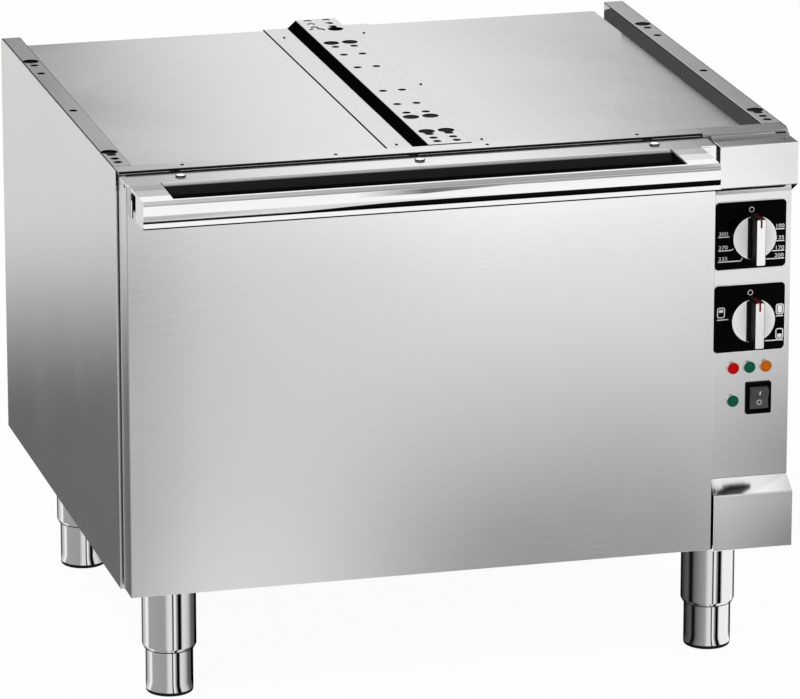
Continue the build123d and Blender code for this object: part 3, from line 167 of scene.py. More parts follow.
# Thermostat scale: figure, left end, foot and the leader line under it, in millimetres from the middle
thermostat_scale = (
    ("300", -40.0, 1.2, ((-40.4, -0.6), (-24.6, -0.6))),
    ("270", -40.0, -15.4, ((-40.2, -17.1), (-24.2, -17.1), (-21.6, -15.4))),
    ("235", -40.0, -29.0, ((-40.4, -30.6), (-12.6, -30.6), (-10.4, -27.0))),
    ("100", 29.0, 6.6, ((29.6, 4.9), (40.4, 4.9))),
    ("135", 29.0, -7.5, ((29.6, -9.4), (40.5, -9.4))),
    ("170", 29.0, -19.7, ((25.8, -21.2), (40.5, -21.2))),
    ("200", 28.6, -28.9, ((18.4, -30.6), (40.6, -30.6))),
)

# Selector signs: middle, the lit part of the sign's window (foot and height) and the line under it
selector_signs = (
    ((-35.6, 8.3), (0.2, 3.6), ((-40.4, -0.3), (-27.6, -0.3), (-23.4, 0.1))),
    ((36.4, 8.1), (-4.4, 8.8), ((31.8, -0.2), (40.8, -0.2))),
    ((36.4, -21.8), (-4.4, 4.2), ((19.0, -29.6), (41.0, -29.6))),
)

# Lamps
lens_radius = 6.95 * mm
lens_dome = 0.5 * mm
lens_round = 0.6 * mm
bezel_radius = 7.25 * mm
lamp_sink = 3.6 * mm
bezel_lip = 0.15 * mm

# Rocker: its two faces tilt from the pivot, as on the model
rocker_tip_reach = 9.5 * mm
rocker_radius = 14.0 * mm
rocker_valley = 6.5 * mm
rocker_tilt = math.radians(8)
rocker_edge = 0.5 * mm
rocker_ring_radius = 2.9 * mm
rocker_ring_line = 0.65 * mm
rocker_ring_rise = 1.6 * mm
rocker_bar_width = 1.6 * mm
rocker_bar_height = 5.6 * mm
rocker_bar_corner = 0.3 * mm
rocker_bar_rise = 3.6 * mm

# Screws and rivets: how much broader than the model's, how high, and the dome's steps in degrees
screw_socket_share = 0.42
screw_face = 5.1 * mm
screw_steps = 48
screw_dome = (12, 25, 40, 55)
handle_head_share, handle_head_rise = 1.35, 1.6 * mm
small_head_share, small_head_rise = 0.75, 0.8 * mm

# Legs and feet
leg_radius = 32.0 * mm
leg_wall = 2.0 * mm
leg_neck_radius = 29.4 * mm
leg_shoulder = 5.0 * mm
leg_bore = 28.3 * mm
leg_guide_height = 12.0 * mm
leg_plate = 96.0 * mm
leg_plate_sheet = 3.0 * mm
leg_plate_corner = 8.0 * mm
leg_plate_ease = 0.3 * mm
leg_round = 0.5 * mm
foot_radius = 28.0 * mm
foot_wall = 3.0 * mm
foot_pad_radius = 27.9 * mm
foot_pad_height = 4.5 * mm
foot_round = 0.3 * mm
pad_round = 3.2 * mm

# Noise in the materials, from coarse to fine
smooth = "SMOOTHSTEP"
cloud_scale = 5.0
wipe_scale = 30.0
brush_scale = 40.0
brush_stretch = 60.0
pebble_scale = 1800.0
noise_span = (0.3, 0.7)   # most of a noise's values lie between these
sheet_open = (0.12, 0.45)
polish_open = (0.1, 0.4)
# Painted shade in crevices: the tones that steel darkens to there
sheet_crevice_shade_tone = 0.02
polish_crevice_shade_tone = 0.01


def grey(value):
    return (value, value, value)


def shaded(colour, share):
    return tuple(channel * share for channel in colour)


class Tree:
    """A node tree, with short calls for the nodes that it is wired from."""

    def __init__(self, tree):
        self.tree = tree

    def add(self, kind, **settings):
        node = self.tree.nodes.new(kind)
        for key, value in settings.items():
            setattr(node, key, value)
        return node

    def link(self, source, socket):
        self.tree.links.new(source, socket)

    def put(self, socket, value):
        """Wire a node's output to a socket, or set a plain value on it."""
        if isinstance(value, bpy.types.NodeSocket):
            self.link(value, socket)
        else:
            socket.default_value = value

    def maths(self, operation, first, second=0.0):
        node = self.add("ShaderNodeMath", operation=operation)
        self.put(node.inputs[0], first)
        self.put(node.inputs[1], second)
        return node.outputs[0]

    def plus(self, first, second):
        return self.maths("ADD", first, second)

    def minus(self, first, second):
        return self.maths("SUBTRACT", first, second)

    def most(self, first, second):
        return self.maths("MAXIMUM", first, second)

    def power(self, value, exponent):
        return self.maths("POWER", value, exponent)

    def times(self, *factors):
        product = factors[0]
        for factor in factors[1:]:
            product = self.maths("MULTIPLY", product, factor)
        return product

    def ramp(self, value, low, high, start, end, shape="LINEAR"):
        """Carry a value from one range to another, held at the ends."""
        node = self.add("ShaderNodeMapRange", interpolation_type=shape)
        self.link(value, node.inputs["Value"])
        for name, number in (("From Min", low), ("From Max", high), ("To Min", start), ("To Max", end)):
            node.inputs[name].default_value = number
        return node.outputs["Result"]

    def above(self, value, place, step):
        """Zero before a place and one past it, where the step is the distance past it and the softness."""
        start = place + step[0]
        return self.ramp(value, start, start + step[1], 0.0, 1.0)

    def below(self, value, place, step):
        """One before a place and zero past it, where the step is the distance past it and the softness."""
        start = place + step[0]
        return self.ramp(value, start, start + step[1], 1.0, 0.0)

    def within(self, value, low, high, soft):
        """One between two values, fading to zero over a soft edge outside each."""
        return self.times(self.above(value, low, (-soft, soft)), self.below(value, high, (0.0, soft)))

    def seen_directly(self):
        """One for camera, glossy and transmission rays, so that metal shows the white room too."""
        path = self.add("ShaderNodeLightPath")
        seen = self.most(path.outputs["Is Camera Ray"], path.outputs["Is Glossy Ray"])
        return self.most(seen, path.outputs["Is Transmission Ray"])


class Look(Tree):
    """A material, its shader and the place on the object."""

    def __init__(self, name):
        self.material = bpy.data.materials.new(name)
        self.material.use_nodes = True
        super().__init__(self.material.node_tree)
        self.shader = self.tree.nodes["Principled BSDF"]
        self.place = self.add("ShaderNodeTexCoord").outputs["Object"]

    def set(self, **values):
        """Set the shader's own sockets: words joined by underscores are the socket's name."""
        names = {socket.name.lower().replace(" ", "_"): socket for socket in self.shader.inputs}
        for key, value in values.items():
            self.put(names[key], value)

    def split(self, vector):
        node = self.add("ShaderNodeSeparateXYZ")
        self.link(vector, node.inputs["Vector"])
        return tuple(node.outputs)

    def axes(self):
        """The coordinates of the object's own place."""
        return self.split(self.place)

    def facing(self):
        """The direction that the surface faces."""
        return self.split(self.add("ShaderNodeNewGeometry").outputs["Normal"])

    def facing_left(self):
        """One where the surface faces left."""
        return self.below(self.facing()[0], 0.0, face_step)

    def noise(self, scale, stretch=(1, 1, 1), detail=3.0):
        """Noise over the object's own place, drawn out along the axes with a small stretch."""
        mapping = self.add("ShaderNodeMapping")
        mapping.inputs["Scale"].default_value = stretch
        self.link(self.place, mapping.inputs["Vector"])
        texture = self.add("ShaderNodeTexNoise")
        texture.inputs["Scale"].default_value = scale
        texture.inputs["Detail"].default_value = detail
        self.link(mapping.outputs["Vector"], texture.inputs["Vector"])
        return texture.outputs["Fac"]

    def rings(self, direction, scale, distortion):
        """Fine rings round the object's own middle or axis."""
        wave = self.add("ShaderNodeTexWave", wave_type="RINGS", rings_direction=direction)
        wave.inputs["Scale"].default_value = scale
        wave.inputs["Distortion"].default_value = distortion
        self.link(self.place, wave.inputs["Vector"])
        return wave.outputs["Fac"]

    def vary(self, noise, low, high):
        """A value that goes from low to high with a noise."""
        return self.ramp(noise, *noise_span, low, high)

    def mix_colour(self, factor, first, second):
        """A colour between two colours, each a colour or a socket."""
        node = self.add("ShaderNodeMix", data_type="RGBA")
        self.put(node.inputs[0], factor)
        for index, colour in ((6, first), (7, second)):
            linked = isinstance(colour, bpy.types.NodeSocket)
            self.put(node.inputs[index], colour if linked else (*colour, 1))
        return node.outputs[2]

    def open_air(self, reach, span):
        """Painted shade in crevices: one in the open and zero deep in a crevice or gap, as seen within a short
        reach.
        """
        node = self.add("ShaderNodeAmbientOcclusion", samples=6)
        node.inputs["Distance"].default_value = reach
        return self.ramp(node.outputs["AO"], *span, 0.0, 1.0)

    def bump(self, height, depth):
        node = self.add("ShaderNodeBump")
        node.inputs["Strength"].default_value = 1.0
        node.inputs["Distance"].default_value = depth
        self.link(height, node.inputs["Height"])
        self.link(node.outputs["Normal"], self.shader.inputs["Normal"])

    def metal(self, tint, patches=(), dim=None):
        """A metal's tint, dimmed by a share over its place as painted shade, with matt patches of (place, tone) on
        it that paint shade or light.
        """
        if dim:
            tint = self.mix_colour(dim(self), tint, grey(0.0))
        shine = 1.0
        for place, tone in patches:
            mask = place(self)
            tint = self.mix_colour(mask, tint, grey(tone))
            shine = self.times(shine, self.minus(1.0, mask))
        self.set(base_color=tint, metallic=shine, specular_ior_level=0.0)

    def tones(self, value, stops):
        """Grey tones along a value from zero to one, straight between the stops."""
        node = self.add("ShaderNodeValToRGB")
        ramp = node.color_ramp
        ramp.elements[0].position, ramp.elements[1].position = stops[0][0], stops[-1][0]
        for place, _ in stops[1:-1]:
            ramp.elements.new(place)
        for element, (_, tone) in zip(ramp.elements, stops):
            element.color = (*grey(tone), 1)
        self.link(value, node.inputs["Fac"])
        return node.outputs["Color"]

    def glow(self, strength):
        node = self.add("ShaderNodeEmission")
        node.inputs["Strength"].default_value = strength
        return node

    def show(self, surface):
        self.link(surface, self.tree.nodes["Material Output"].inputs["Surface"])

    def blend(self, factor, first, second):
        """Show a second surface over the first by a factor."""
        mixer = self.add("ShaderNodeMixShader")
        self.put(mixer.inputs["Fac"], factor)
        self.link(first, mixer.inputs[1])
        self.link(second, mixer.inputs[2])
        self.show(mixer.outputs["Shader"])


# Materials
def brushed_steel(name, tone, roughness, brush, grain=0.03, shade_reach=9 * mm, patches=(), dim=None):
    """Satin stainless sheet: fine grain along one axis, faint handling marks, painted shade in crevices, and
    painted shade or light from its patches and dim.
    """
    look = Look(name)
    stretch = [brush_stretch] * 3
    stretch[brush] = 1.0
    strokes = look.noise(brush_scale, stretch, detail=4.0)
    clouds = look.noise(cloud_scale, detail=2.0)
    clean = look.mix_colour(clouds, grey(tone * 0.985), grey(min(tone * 1.015, 1.0)))
    # Painted shade: the tint darkens towards black deep in crevices and gaps between parts
    tint = look.mix_colour(look.open_air(shade_reach, sheet_open), grey(sheet_crevice_shade_tone), clean)
    look.metal(tint, patches, dim)
    rub = look.vary(clouds, roughness - grain, roughness + grain)
    look.set(roughness=look.plus(rub, look.vary(strokes, -grain, grain)))
    look.bump(strokes, 0.0004 * mm)
    return look.material


def polished_steel(name, tone, roughness, shade_reach=6 * mm, patches=(), dim=None):
    """Bright polished metal with faint wipe marks, painted shade in its crevices and, where asked for, painted
    shade or light in patches.
    """
    look = Look(name)
    wipes = look.noise(wipe_scale, (1.0, 6.0, 6.0))
    # Painted shade: the tint darkens towards black deep in crevices and gaps between parts
    tint = look.mix_colour(look.open_air(shade_reach, polish_open), grey(polish_crevice_shade_tone), grey(tone))
    look.metal(tint, patches, dim)
    look.set(roughness=look.vary(wipes, roughness * 0.8, roughness * 1.25))
    look.bump(look.noise(300.0), 0.0006 * mm)
    return look.material


def moulded_plastic(name, colour, roughness, specular, grain_depth=0.02 * mm):
    """Moulded plastic: a fine pebble in the surface and a little unevenness in its colour."""
    look = Look(name)
    clouds = look.noise(25.0)
    look.set(base_color=look.mix_colour(clouds, shaded(colour, 0.85), colour), specular_ior_level=specular)
    look.set(roughness=look.vary(clouds, roughness * 0.85, roughness * 1.15))
    look.bump(look.noise(pebble_scale, detail=2.0), grain_depth)
    return look.material


def lamp_lens(name, colour):
    """Clear-coloured lamp plastic with fine diffusing rings pressed inside."""
    look = Look(name)
    rings = look.rings("SPHERICAL", 420.0, 0.4)
    look.set(base_color=look.mix_colour(rings, shaded(colour, 0.86), colour))
    look.set(roughness=look.vary(look.noise(60.0), 0.22, 0.34), specular_ior_level=0.06)
    look.bump(rings, 0.03 * mm)
    return look.material


def spun_metal(name, tone, roughness, shine=1.0):
    """A turned metal face with fine concentric lines round the object's own axis."""
    look = Look(name)
    rings = look.rings("Z", 900.0, 0.6)
    look.set(metallic=shine, base_color=look.mix_colour(look.noise(40.0), grey(tone * 0.97), grey(tone)))
    look.set(roughness=look.ramp(rings, 0.0, 1.0, roughness * 0.85, roughness * 1.15))
    look.bump(rings, 0.002 * mm)
    return look.material


def printed_ink(name, colour):
    """Opaque screen-printed ink with a slightly uneven edge tone."""
    look = Look(name)
    clouds = look.noise(220.0)
    look.set(base_color=look.mix_colour(clouds, shaded(colour, 0.92), colour), specular_ior_level=0.04)
    look.set(roughness=look.vary(clouds, 0.4, 0.55))
    look.bump(clouds, 0.01 * mm)
    return look.material


def fibre_wool(name, colour):
    """Matted mineral wool."""
    look = Look(name)
    strands = look.noise(160.0, (1.0, 5.0, 5.0), detail=6.0)
    look.set(base_color=look.mix_colour(strands, shaded(colour, 0.55), colour), specular_ior_level=0.1)
    look.set(roughness=look.ramp(strands, 0.2, 0.8, 0.8, 0.95))
    look.bump(strands, 1.5 * mm)
    return look.material


def drawn_metal(name, colour, roughness):
    """Bare drawn metal, such as a copper tube, dulled unevenly."""
    look = Look(name)
    clouds = look.noise(35.0, detail=4.0)
    dull = look.ramp(clouds, 0.35, 0.7, 0.0, 1.0)
    look.set(metallic=1.0, base_color=look.mix_colour(dull, colour, shaded(colour, 0.6)))
    look.set(roughness=look.vary(clouds, roughness, roughness + 0.15))
    look.bump(look.noise(400.0), 0.01 * mm)
    return look.material


# Painted shade and light: places that lie in shade or between two sheets, where the steel is painted matt and
# dark, and a few painted lighter
handle_low, handle_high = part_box("door_handle")
handle_left = handle_low.x + handle_left_inset
handle_right = handle_high.x - handle_right_inset
handle_nose = handle_low.y + handle_hem_step
handle_foot = handle_high.z - handle_drop
handle_head = handle_high.z - handle_nose_drop - handle_nose_radius
handle_stretch = (handle_head - handle_foot + handle_longer) / (handle_head - handle_foot)
handle_ledge = handle_head - (handle_head - handle_foot - handle_hem_height) * handle_stretch
skin_low, skin_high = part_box("door_skin")
door_front = skin_low.y
door_left = skin_low.x
rail_low, rail_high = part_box("centre_rail")
left_rail_low, left_rail_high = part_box("top_rail_left")
right_rail_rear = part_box("top_rail_right")[1].y
cover_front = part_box("corner_cover")[0].y
cover_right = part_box("corner_cover")[1].x
panel_low, panel_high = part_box("control_panel")

# Steps of these shades: how far past the place that each is measured from, and how soft
face_step = (-0.9, 0.3)
underside_step = (-0.7, 0.2)
top_face_step = (0.8, 0.15)
upright_step = (0.3, 0.2)
right_face_step = (0.25, 0.25)
nose_face = (2.2 * mm, 0.3 * mm)
slot_lip = (-0.2 * mm, 3.0 * mm)
slot_lip_rear = (7.6 * mm, 0.2 * mm)
slot_inner_top = (1.8 * mm, 0.4 * mm)
slot_inner_front = (2.6 * mm, 0.3 * mm)
slot_margin, slot_margin_soft = 1.2 * mm, 0.2 * mm
hem_upper = (0.0, 0.5 * mm)
hem_upper_foot = (-0.3 * mm, 0.2 * mm)
hem_lower = (1.5 * mm, 0.4 * mm)
nose_start = (-0.15, 0.08)
nose_band_foot = (0.0, 0.5 * mm)
nose_band_head = (1.2 * mm, 1.0 * mm)
hollow_face = (1.0 * mm, 0.5 * mm)
hollow_foot = (-3.0 * mm, 4.0 * mm)
hollow_margin = 1.0 * mm
door_face = (0.8 * mm, 0.4 * mm)
door_fold, door_fold_shade = (1.0 * mm, 0.6 * mm), 0.45
door_lift_start = (0.49, 0.11)
rail_sheet_foot = (-1.7 * mm, 0.2 * mm)
rail_end_foot = (-2.0 * mm, 0.5 * mm)
rail_end_rear = (3.4 * mm, 0.8 * mm)
rail_hem_edge = (1.0 * mm, 0.4 * mm)
left_rail_outer = (0.8 * mm, 0.4 * mm)
left_rail_inner, left_rail_inner_shade = (-1.1 * mm, 0.3 * mm), 0.9
web_glint_drop, web_glint_slope, web_glint_edge = 11 * mm, 0.33, (-0.4 * mm, 0.8 * mm)
cover_line = (8.0 * mm, 1.0 * mm)
cover_line_end = (-15 * mm, 1.0 * mm)
cover_end_slant, cover_end = 0.36, (-0.4 * mm, 0.6 * mm)
cover_top_shade, cover_rear_shade, cover_rear = 0.28, 0.6, (28 * mm, 4 * mm)
strip_end_start = (-0.2 * mm, 0.6 * mm)
panel_right_half = (0.0, 0.1)
screw_edge = (-0.3 * mm, 0.6 * mm)
tube_foot_span, tube_foot_soft = (-1.0 * mm, 1.5 * mm), 0.3 * mm

# Ramps of these shades: from and to, and the value at each
hem_reach = (-0.27, -0.08, 0.9 * mm, 5.8 * mm)
nose_foot = (-0.07, 0.03, handle_head - 4.3 * mm, handle_head - 0.9 * mm)
nose_share = (-0.06, 0.03, 0.80, 0.64)
door_lift_share = (-0.3, 0.0, 0.02, 0.15)
door_shade = (door_left + 10 * mm, -0.31, 0.24, 0.15)
strip_end_shade = (-0.7, -0.2, 0.6, 0.14)


def handle_pocket_painted_shade(look):
    """Painted shade on the handle's inner sides, deepening from the slot's rolled edge downwards."""
    x, y, z = look.axes()
    fall = look.ramp(y, handle_nose, handle_nose + handle_fall_run, handle_nose_drop, 0.0)
    sunk = look.minus(look.minus(handle_high.z, z), fall)
    lip = look.times(look.above(sunk, 0.0, slot_lip), look.above(y, handle_nose, slot_lip_rear))
    inner = look.below(z, handle_head, slot_inner_top)
    inner = look.times(inner, look.above(y, handle_nose, slot_inner_front))
    between = look.within(x, handle_left + slot_margin, handle_right - slot_margin, slot_margin_soft)
    return look.times(look.most(lip, inner), between)


def hem_painted_shade_lines(look):
    """Painted shade in dark lines over and under the handle's hem, the upper one broader to the right."""
    x, y, z = look.axes()
    over = look.minus(look.minus(z, handle_ledge), look.ramp(x, *hem_reach, smooth))
    upper = look.times(look.below(over, 0.0, hem_upper), look.above(z, handle_ledge, hem_upper_foot))
    lower = look.below(z, handle_foot - handle_longer, hem_lower)
    return look.times(look.below(y, handle_nose, nose_face), look.most(upper, lower))


def nose_shade(look):
    """Painted reflection: the band under the handle's rolled nose is darkened where it would show the grey
    ceiling, right of the middle.
    """
    x, y, z = look.axes()
    foot = look.minus(z, look.ramp(x, *nose_foot))
    band = look.times(look.above(foot, 0.0, nose_band_foot), look.below(z, handle_head, nose_band_head))
    front = look.below(y, handle_nose, nose_face)
    return look.times(look.above(x, 0.0, nose_start), band, front, look.ramp(x, *nose_share))


def behind_handle_painted_shade(look):
    """Painted shade on the door's face in the handle's hollow."""
    x, y, z = look.axes()
    front = look.below(y, door_front, hollow_face)
    between = look.within(x, handle_left + hollow_margin, handle_right - hollow_margin, hollow_margin)
    return look.times(front, look.above(z, handle_foot, hollow_foot), between)


def door_painted_shade(look):
    """Painted shade on the door: even, deeper at the left and lifted under the handle, and a thin painted shade
    along the left fold.
    """
    x, y, z = look.axes()
    lift = look.times(look.power(look.above(z, 0.0, door_lift_start), 2.0), look.ramp(x, *door_lift_share))
    shade = look.minus(look.ramp(x, *door_shade), lift)
    fold = look.times(look.below(y, door_front, door_face), look.below(x, door_left, door_fold))
    return look.most(shade, look.times(fold, door_fold_shade))


def rail_hole_painted_shade(look):
    """Painted shade on the walls of the holes in a rail, and a thin painted shade under its outer folds."""
    upright = look.below(look.maths("ABSOLUTE", look.facing()[2]), 0.0, upright_step)
    return look.times(upright, look.above(look.axes()[2], rail_high.z, rail_sheet_foot))


def rail_end_painted_shade(look):
    """Painted shade on the front end of the centre rail's top, over the gap to the strip."""
    x, y, z = look.axes()
    return look.times(look.above(z, rail_high.z, rail_end_foot), look.below(y, rail_low.y, rail_end_rear))


def rail_fold_painted_shade(look):
    """Painted shade on the centre rail's right-hand fold."""
    return look.above(look.facing()[0], 0.0, right_face_step)


def rail_hem_painted_shade(look):
    """Thin painted shade along the left edge of the centre rail's flange."""
    return look.below(look.axes()[0], rail_low.x, rail_hem_edge)


def left_rail_painted_edge_shade(look):
    """Thin painted shade along both edges of the left rail's top."""
    x = look.axes()[0]
    inner = look.times(look.above(x, left_rail_high.x, left_rail_inner), left_rail_inner_shade)
    return look.most(look.below(x, left_rail_low.x, left_rail_outer), inner)


def right_rail_web_painted_shade(look):
    """Painted shade on the right rail's inner side, apart from its bright upper rear corner."""
    x, y, z = look.axes()
    line = look.times(look.minus(right_rail_rear, y), web_glint_slope)
    over = look.minus(look.minus(z, rail_high.z - web_glint_drop), line)
    return look.times(look.facing_left(), look.below(over, 0.0, web_glint_edge))


def cover_underside(look):
    """The corner cover's lower slope, which looks forward and down; as a patch it paints the slope a matt light
    grey, a painted light in place of its reflection.
    """
    return look.below(look.facing()[2], 0.0, underside_step)


def cover_shade(look):
    """Painted shade: a dark line along the slope's front edge, and its right end, which no panel lights."""
    x, y, z = look.axes()
    front = look.times(look.below(y, cover_front, cover_line), look.below(x, cover_right, cover_line_end))
    past = look.plus(x, look.times(look.minus(panel_low.y, y), cover_end_slant))
    return look.times(cover_underside(look), look.most(front, look.above(past, cover_right, cover_end)))


def cover_top_painted_shade(look):
    """Painted shade on the corner cover's top and the step behind it, which lie in the grey of the room's right
    side.
    """
    _, turn_y, turn_z = look.facing()
    top = look.times(look.above(turn_z, 0.0, top_face_step), cover_top_shade)
    behind = look.above(look.axes()[1], cover_front, cover_rear)
    return look.most(top, look.times(behind, look.below(turn_y, 0.0, face_step), cover_rear_shade))


def strip_end_painted_shade(look):
    """Painted shade on the front strip past the end of the dark shade lines, its front face most."""
    past = look.above(look.axes()[0], shade_line_end * mm, strip_end_start)
    return look.times(past, look.ramp(look.facing()[1], *strip_end_shade))


def panel_inside_painted_shade(look):
    """Painted shade on the right side panel's inner face, which is dark behind the rail's holes."""
    return look.times(look.facing_left(), look.above(look.axes()[0], 0.0, panel_right_half))


def screw_rim(look):
    """Painted shade on the rim of a screw's head, where its seat shades it."""
    x, y, z = look.axes()
    radius = look.maths("SQRT", look.plus(look.times(x, x), look.times(y, y)))
    return look.above(radius, screw_face, screw_edge)


def screw_top_painted_highlight(look):
    """Painted highlight on the bright face of a screw's head."""
    return look.minus(1.0, screw_rim(look))


def tube_foot_painted_shade(look):
    """Painted shade on the lower edge of a leg's tube, over the gap to the foot."""
    return look.within(look.axes()[2], *tube_foot_span, tube_foot_soft)


# The same steel takes a different tone on each sheet as painted light and shade, darkest on the outer rails and
# lightest on the door and trim; patches and dims paint shade into hollows, holes, folds and gaps
door_sheet = brushed_steel("door_sheet", 0.99, 0.20, brush=0, patches=((behind_handle_painted_shade, 0.006),), dim=door_painted_shade)
column_sheet = brushed_steel("column_sheet", 0.86, 0.13, brush=0)
# The cover's lower slope is painted a matt light grey, a painted light in place of its reflection
cover_sheet = brushed_steel("cover_sheet", 0.91, 0.13, brush=0,
                            patches=((cover_underside, 0.85), (cover_shade, 0.004)), dim=cover_top_painted_shade)
strip_sheet = brushed_steel("strip_sheet", 0.86, 0.13, brush=0, dim=strip_end_painted_shade)
trim_sheet = brushed_steel("trim_sheet", 0.96, 0.085, brush=0, grain=0.02)
side_sheet = brushed_steel("side_sheet", 0.79, 0.22, brush=1, patches=((panel_inside_painted_shade, 0.005),))
deck_sheet = brushed_steel("deck_sheet", 0.86, 0.18, brush=1)
# The left-facing sides of the rails are painted near black as painted shade
left_rail_sheet = brushed_steel("left_rail_sheet", 0.57, 0.22, brush=1, patches=(
    (rail_hole_painted_shade, 0.005), (left_rail_painted_edge_shade, 0.02), (Look.facing_left, 0.004),
))
rail_sheet = brushed_steel("rail_sheet", 0.86, 0.24, brush=1, patches=(
    (rail_fold_painted_shade, 0.1), (Look.facing_left, 0.002), (rail_hole_painted_shade, 0.005), (rail_end_painted_shade, 0.005), (rail_hem_painted_shade, 0.01),
))
right_rail_sheet = brushed_steel("right_rail_sheet", 0.58, 0.22, brush=1,
                                 patches=((right_rail_web_painted_shade, 0.085), (rail_hole_painted_shade, 0.005)))
handle_metal = polished_steel("handle_metal", 0.93, 0.07,
                              patches=((handle_pocket_painted_shade, 0.012), (hem_painted_shade_lines, 0.004)), dim=nose_shade)
# Screw heads: a painted highlight on the face and painted shade on the rim
screw_metal = polished_steel("screw_metal", 0.9, 0.2, patches=((screw_top_painted_highlight, 0.95), (screw_rim, 0.03)))
# Near-black material for the strips that stand for shade
seal_rubber = moulded_plastic("seal_rubber", grey(0.004), 0.5, 0.02)
dark_screw = drawn_metal("dark_screw", (0.03, 0.03, 0.032), 0.35)
white_ink = printed_ink("white_ink", grey(0.9))
grey_ink = printed_ink("grey_ink", grey(0.62))
red_ink = printed_ink("red_ink", (0.17, 0.0, 0.01))
knob_black = moulded_plastic("knob_black", grey(0.004), 0.4, 0.04, 0.004 * mm)
cap_silver = spun_metal("cap_silver", 0.99, 0.12)
pad_rubber = moulded_plastic("pad_rubber", grey(0.008), 0.6, 0.1)
oven_sheet = brushed_steel("oven_sheet", 0.62, 0.32, brush=1, shade_reach=14 * mm)
finish_of_slot = {
    "casing_steel": column_sheet,
    "door_steel": door_sheet,
    "oven_steel": oven_sheet,
    "element_steel": drawn_metal("element_tube", (0.16, 0.145, 0.13), 0.42),
    "chrome_wire": polished_steel("rack_wire", 0.8, 0.14),
    "chrome_trim": polished_steel("trim_chrome", 0.6, 0.06, shade_reach=3 * mm),
    # The leg tube's lower edge takes a painted shade line
    "leg_chrome": polished_steel("leg_chrome", 0.93, 0.07, shade_reach=4 * mm, patches=((tube_foot_painted_shade, 0.01),)),
    "hinge_steel": drawn_metal("hinge_metal", (0.42, 0.42, 0.41), 0.38),
    "mineral_wool": fibre_wool("mineral_wool", (0.52, 0.47, 0.33)),
    "motor_paint": moulded_plastic("motor_paint", (0.05, 0.055, 0.06), 0.45, 0.4, 0.05 * mm),
    "copper_tube": drawn_metal("copper_tube", (0.78, 0.38, 0.22), 0.25),
    "switch_plastic": moulded_plastic("switch_plastic", (0.16, 0.15, 0.13), 0.5, 0.4),
    "black_plastic": moulded_plastic("black_plastic", grey(0.002), 0.45, 0.02),
    "rocker_plastic": moulded_plastic("rocker_plastic", grey(0.07), 0.45, 0.02),
    "dial_black": moulded_plastic("dial_black", grey(0.002), 0.5, 0.02, 0.006 * mm),
    "knob_silver": spun_metal("knob_silver", 0.96, 0.5, 0.1),
    "lens_red": lamp_lens("lens_red", (0.52, 0.0, 0.0)),
    "lens_green": lamp_lens("lens_green", (0.003, 0.09, 0.045)),
    "lens_orange": lamp_lens("lens_orange", (0.52, 0.115, 0.0)),
    "gasket_rubber": moulded_plastic("gasket_rubber", grey(0.02), 0.6, 0.2, 0.1 * mm),
}
for name, node in nodes.items():
    node.data.materials[0] = finish_of_slot[slot_of_node[name]]


# Meshes
def add_object(name, maker, material):
    """Turn a bmesh into an object of the scene."""
    mesh = bpy.data.meshes.new(name)
    maker.to_mesh(mesh)
    maker.free()
    mesh.materials.append(material)
    item = bpy.data.objects.new(name, mesh)
    bpy.context.scene.collection.objects.link(item)
    return item


def add_piece(name, maker, body, slot, node=None, place=Matrix.Identity(4), material=None):
    """Add a smooth piece that rides on a body, in its slot's finish or its own, and may stand for a node."""
    bmesh.ops.recalc_face_normals(maker, faces=maker.faces)
    piece = add_object(name, maker, material or finish_of_slot[slot])
    piece.data.shade_smooth()
    piece.data.set_sharp_from_angle(angle=sharp)
    piece.matrix_world = place
    even = piece.modifiers.new("even_normals", "WEIGHTED_NORMAL")
    even.keep_sharp = True
    even.weight = 100
    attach(piece, body)
    if node:
        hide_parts(node)
    return piece


def copied(node):
    """A welded copy of a node's mesh, its flat triangles joined into whole faces."""
    source = nodes[node].data
    maker = bmesh.new()
    corners = [maker.verts.new(vertex.co) for vertex in source.vertices]
    for polygon in source.polygons:
        maker.faces.new([corners[index] for index in polygon.vertices])
    bmesh.ops.remove_doubles(maker, verts=maker.verts, dist=weld)
    bmesh.ops.dissolve_limit(maker, angle_limit=flat, verts=maker.verts, edges=maker.edges)
    maker.normal_update()
    return maker


def is_sharp(edge):
    return edge.is_manifold and edge.calc_face_angle(0.0) > sharp


def smooth_groups(maker):
    """Number the faces that run smoothly into each other, with each group's mean width."""
    group_of, widths = {}, []
    for first in maker.faces:
        if first in group_of:
            continue
        area, border, waiting = 0.0, 0.0, [first]
        group_of[first] = len(widths)
        while waiting:
            face = waiting.pop()
            area += face.calc_area()
            for edge in face.edges:
                if is_sharp(edge):
                    border += edge.calc_length()
                    continue
                for other in edge.link_faces:
                    if other not in group_of:
                        group_of[other] = len(widths)
                        waiting.append(other)
        widths.append(2 * area / max(border, weld))
    return group_of, widths


def outer_edges(maker):
    return [edge for edge in maker.edges if is_sharp(edge) and edge.is_convex]


def fold_edges(maker):
    """The outer edges where one broad face of a sheet is folded to another."""
    group_of, widths = smooth_groups(maker)
    return [
        edge for edge in outer_edges(maker)
        if all(widths[group_of[face]] > rim_width for face in edge.link_faces)
    ]


def dress(node, material, radius, kind="sheet"):
    """A copy of a node that stands for it, with a sheet's folds or all of a body's outer edges rolled."""
    maker = copied(node)
    edges = fold_edges(maker) if kind == "sheet" else outer_edges(maker)
    bmesh.ops.bevel(maker, geom=edges, offset=radius, offset_type="OFFSET", segments=fold_steps,
                    profile=0.5, affect="EDGES", clamp_overlap=True)
    return add_piece(f"{node}_{kind}", maker, body_of_node[node], slot_of_node[node], node, material=material)


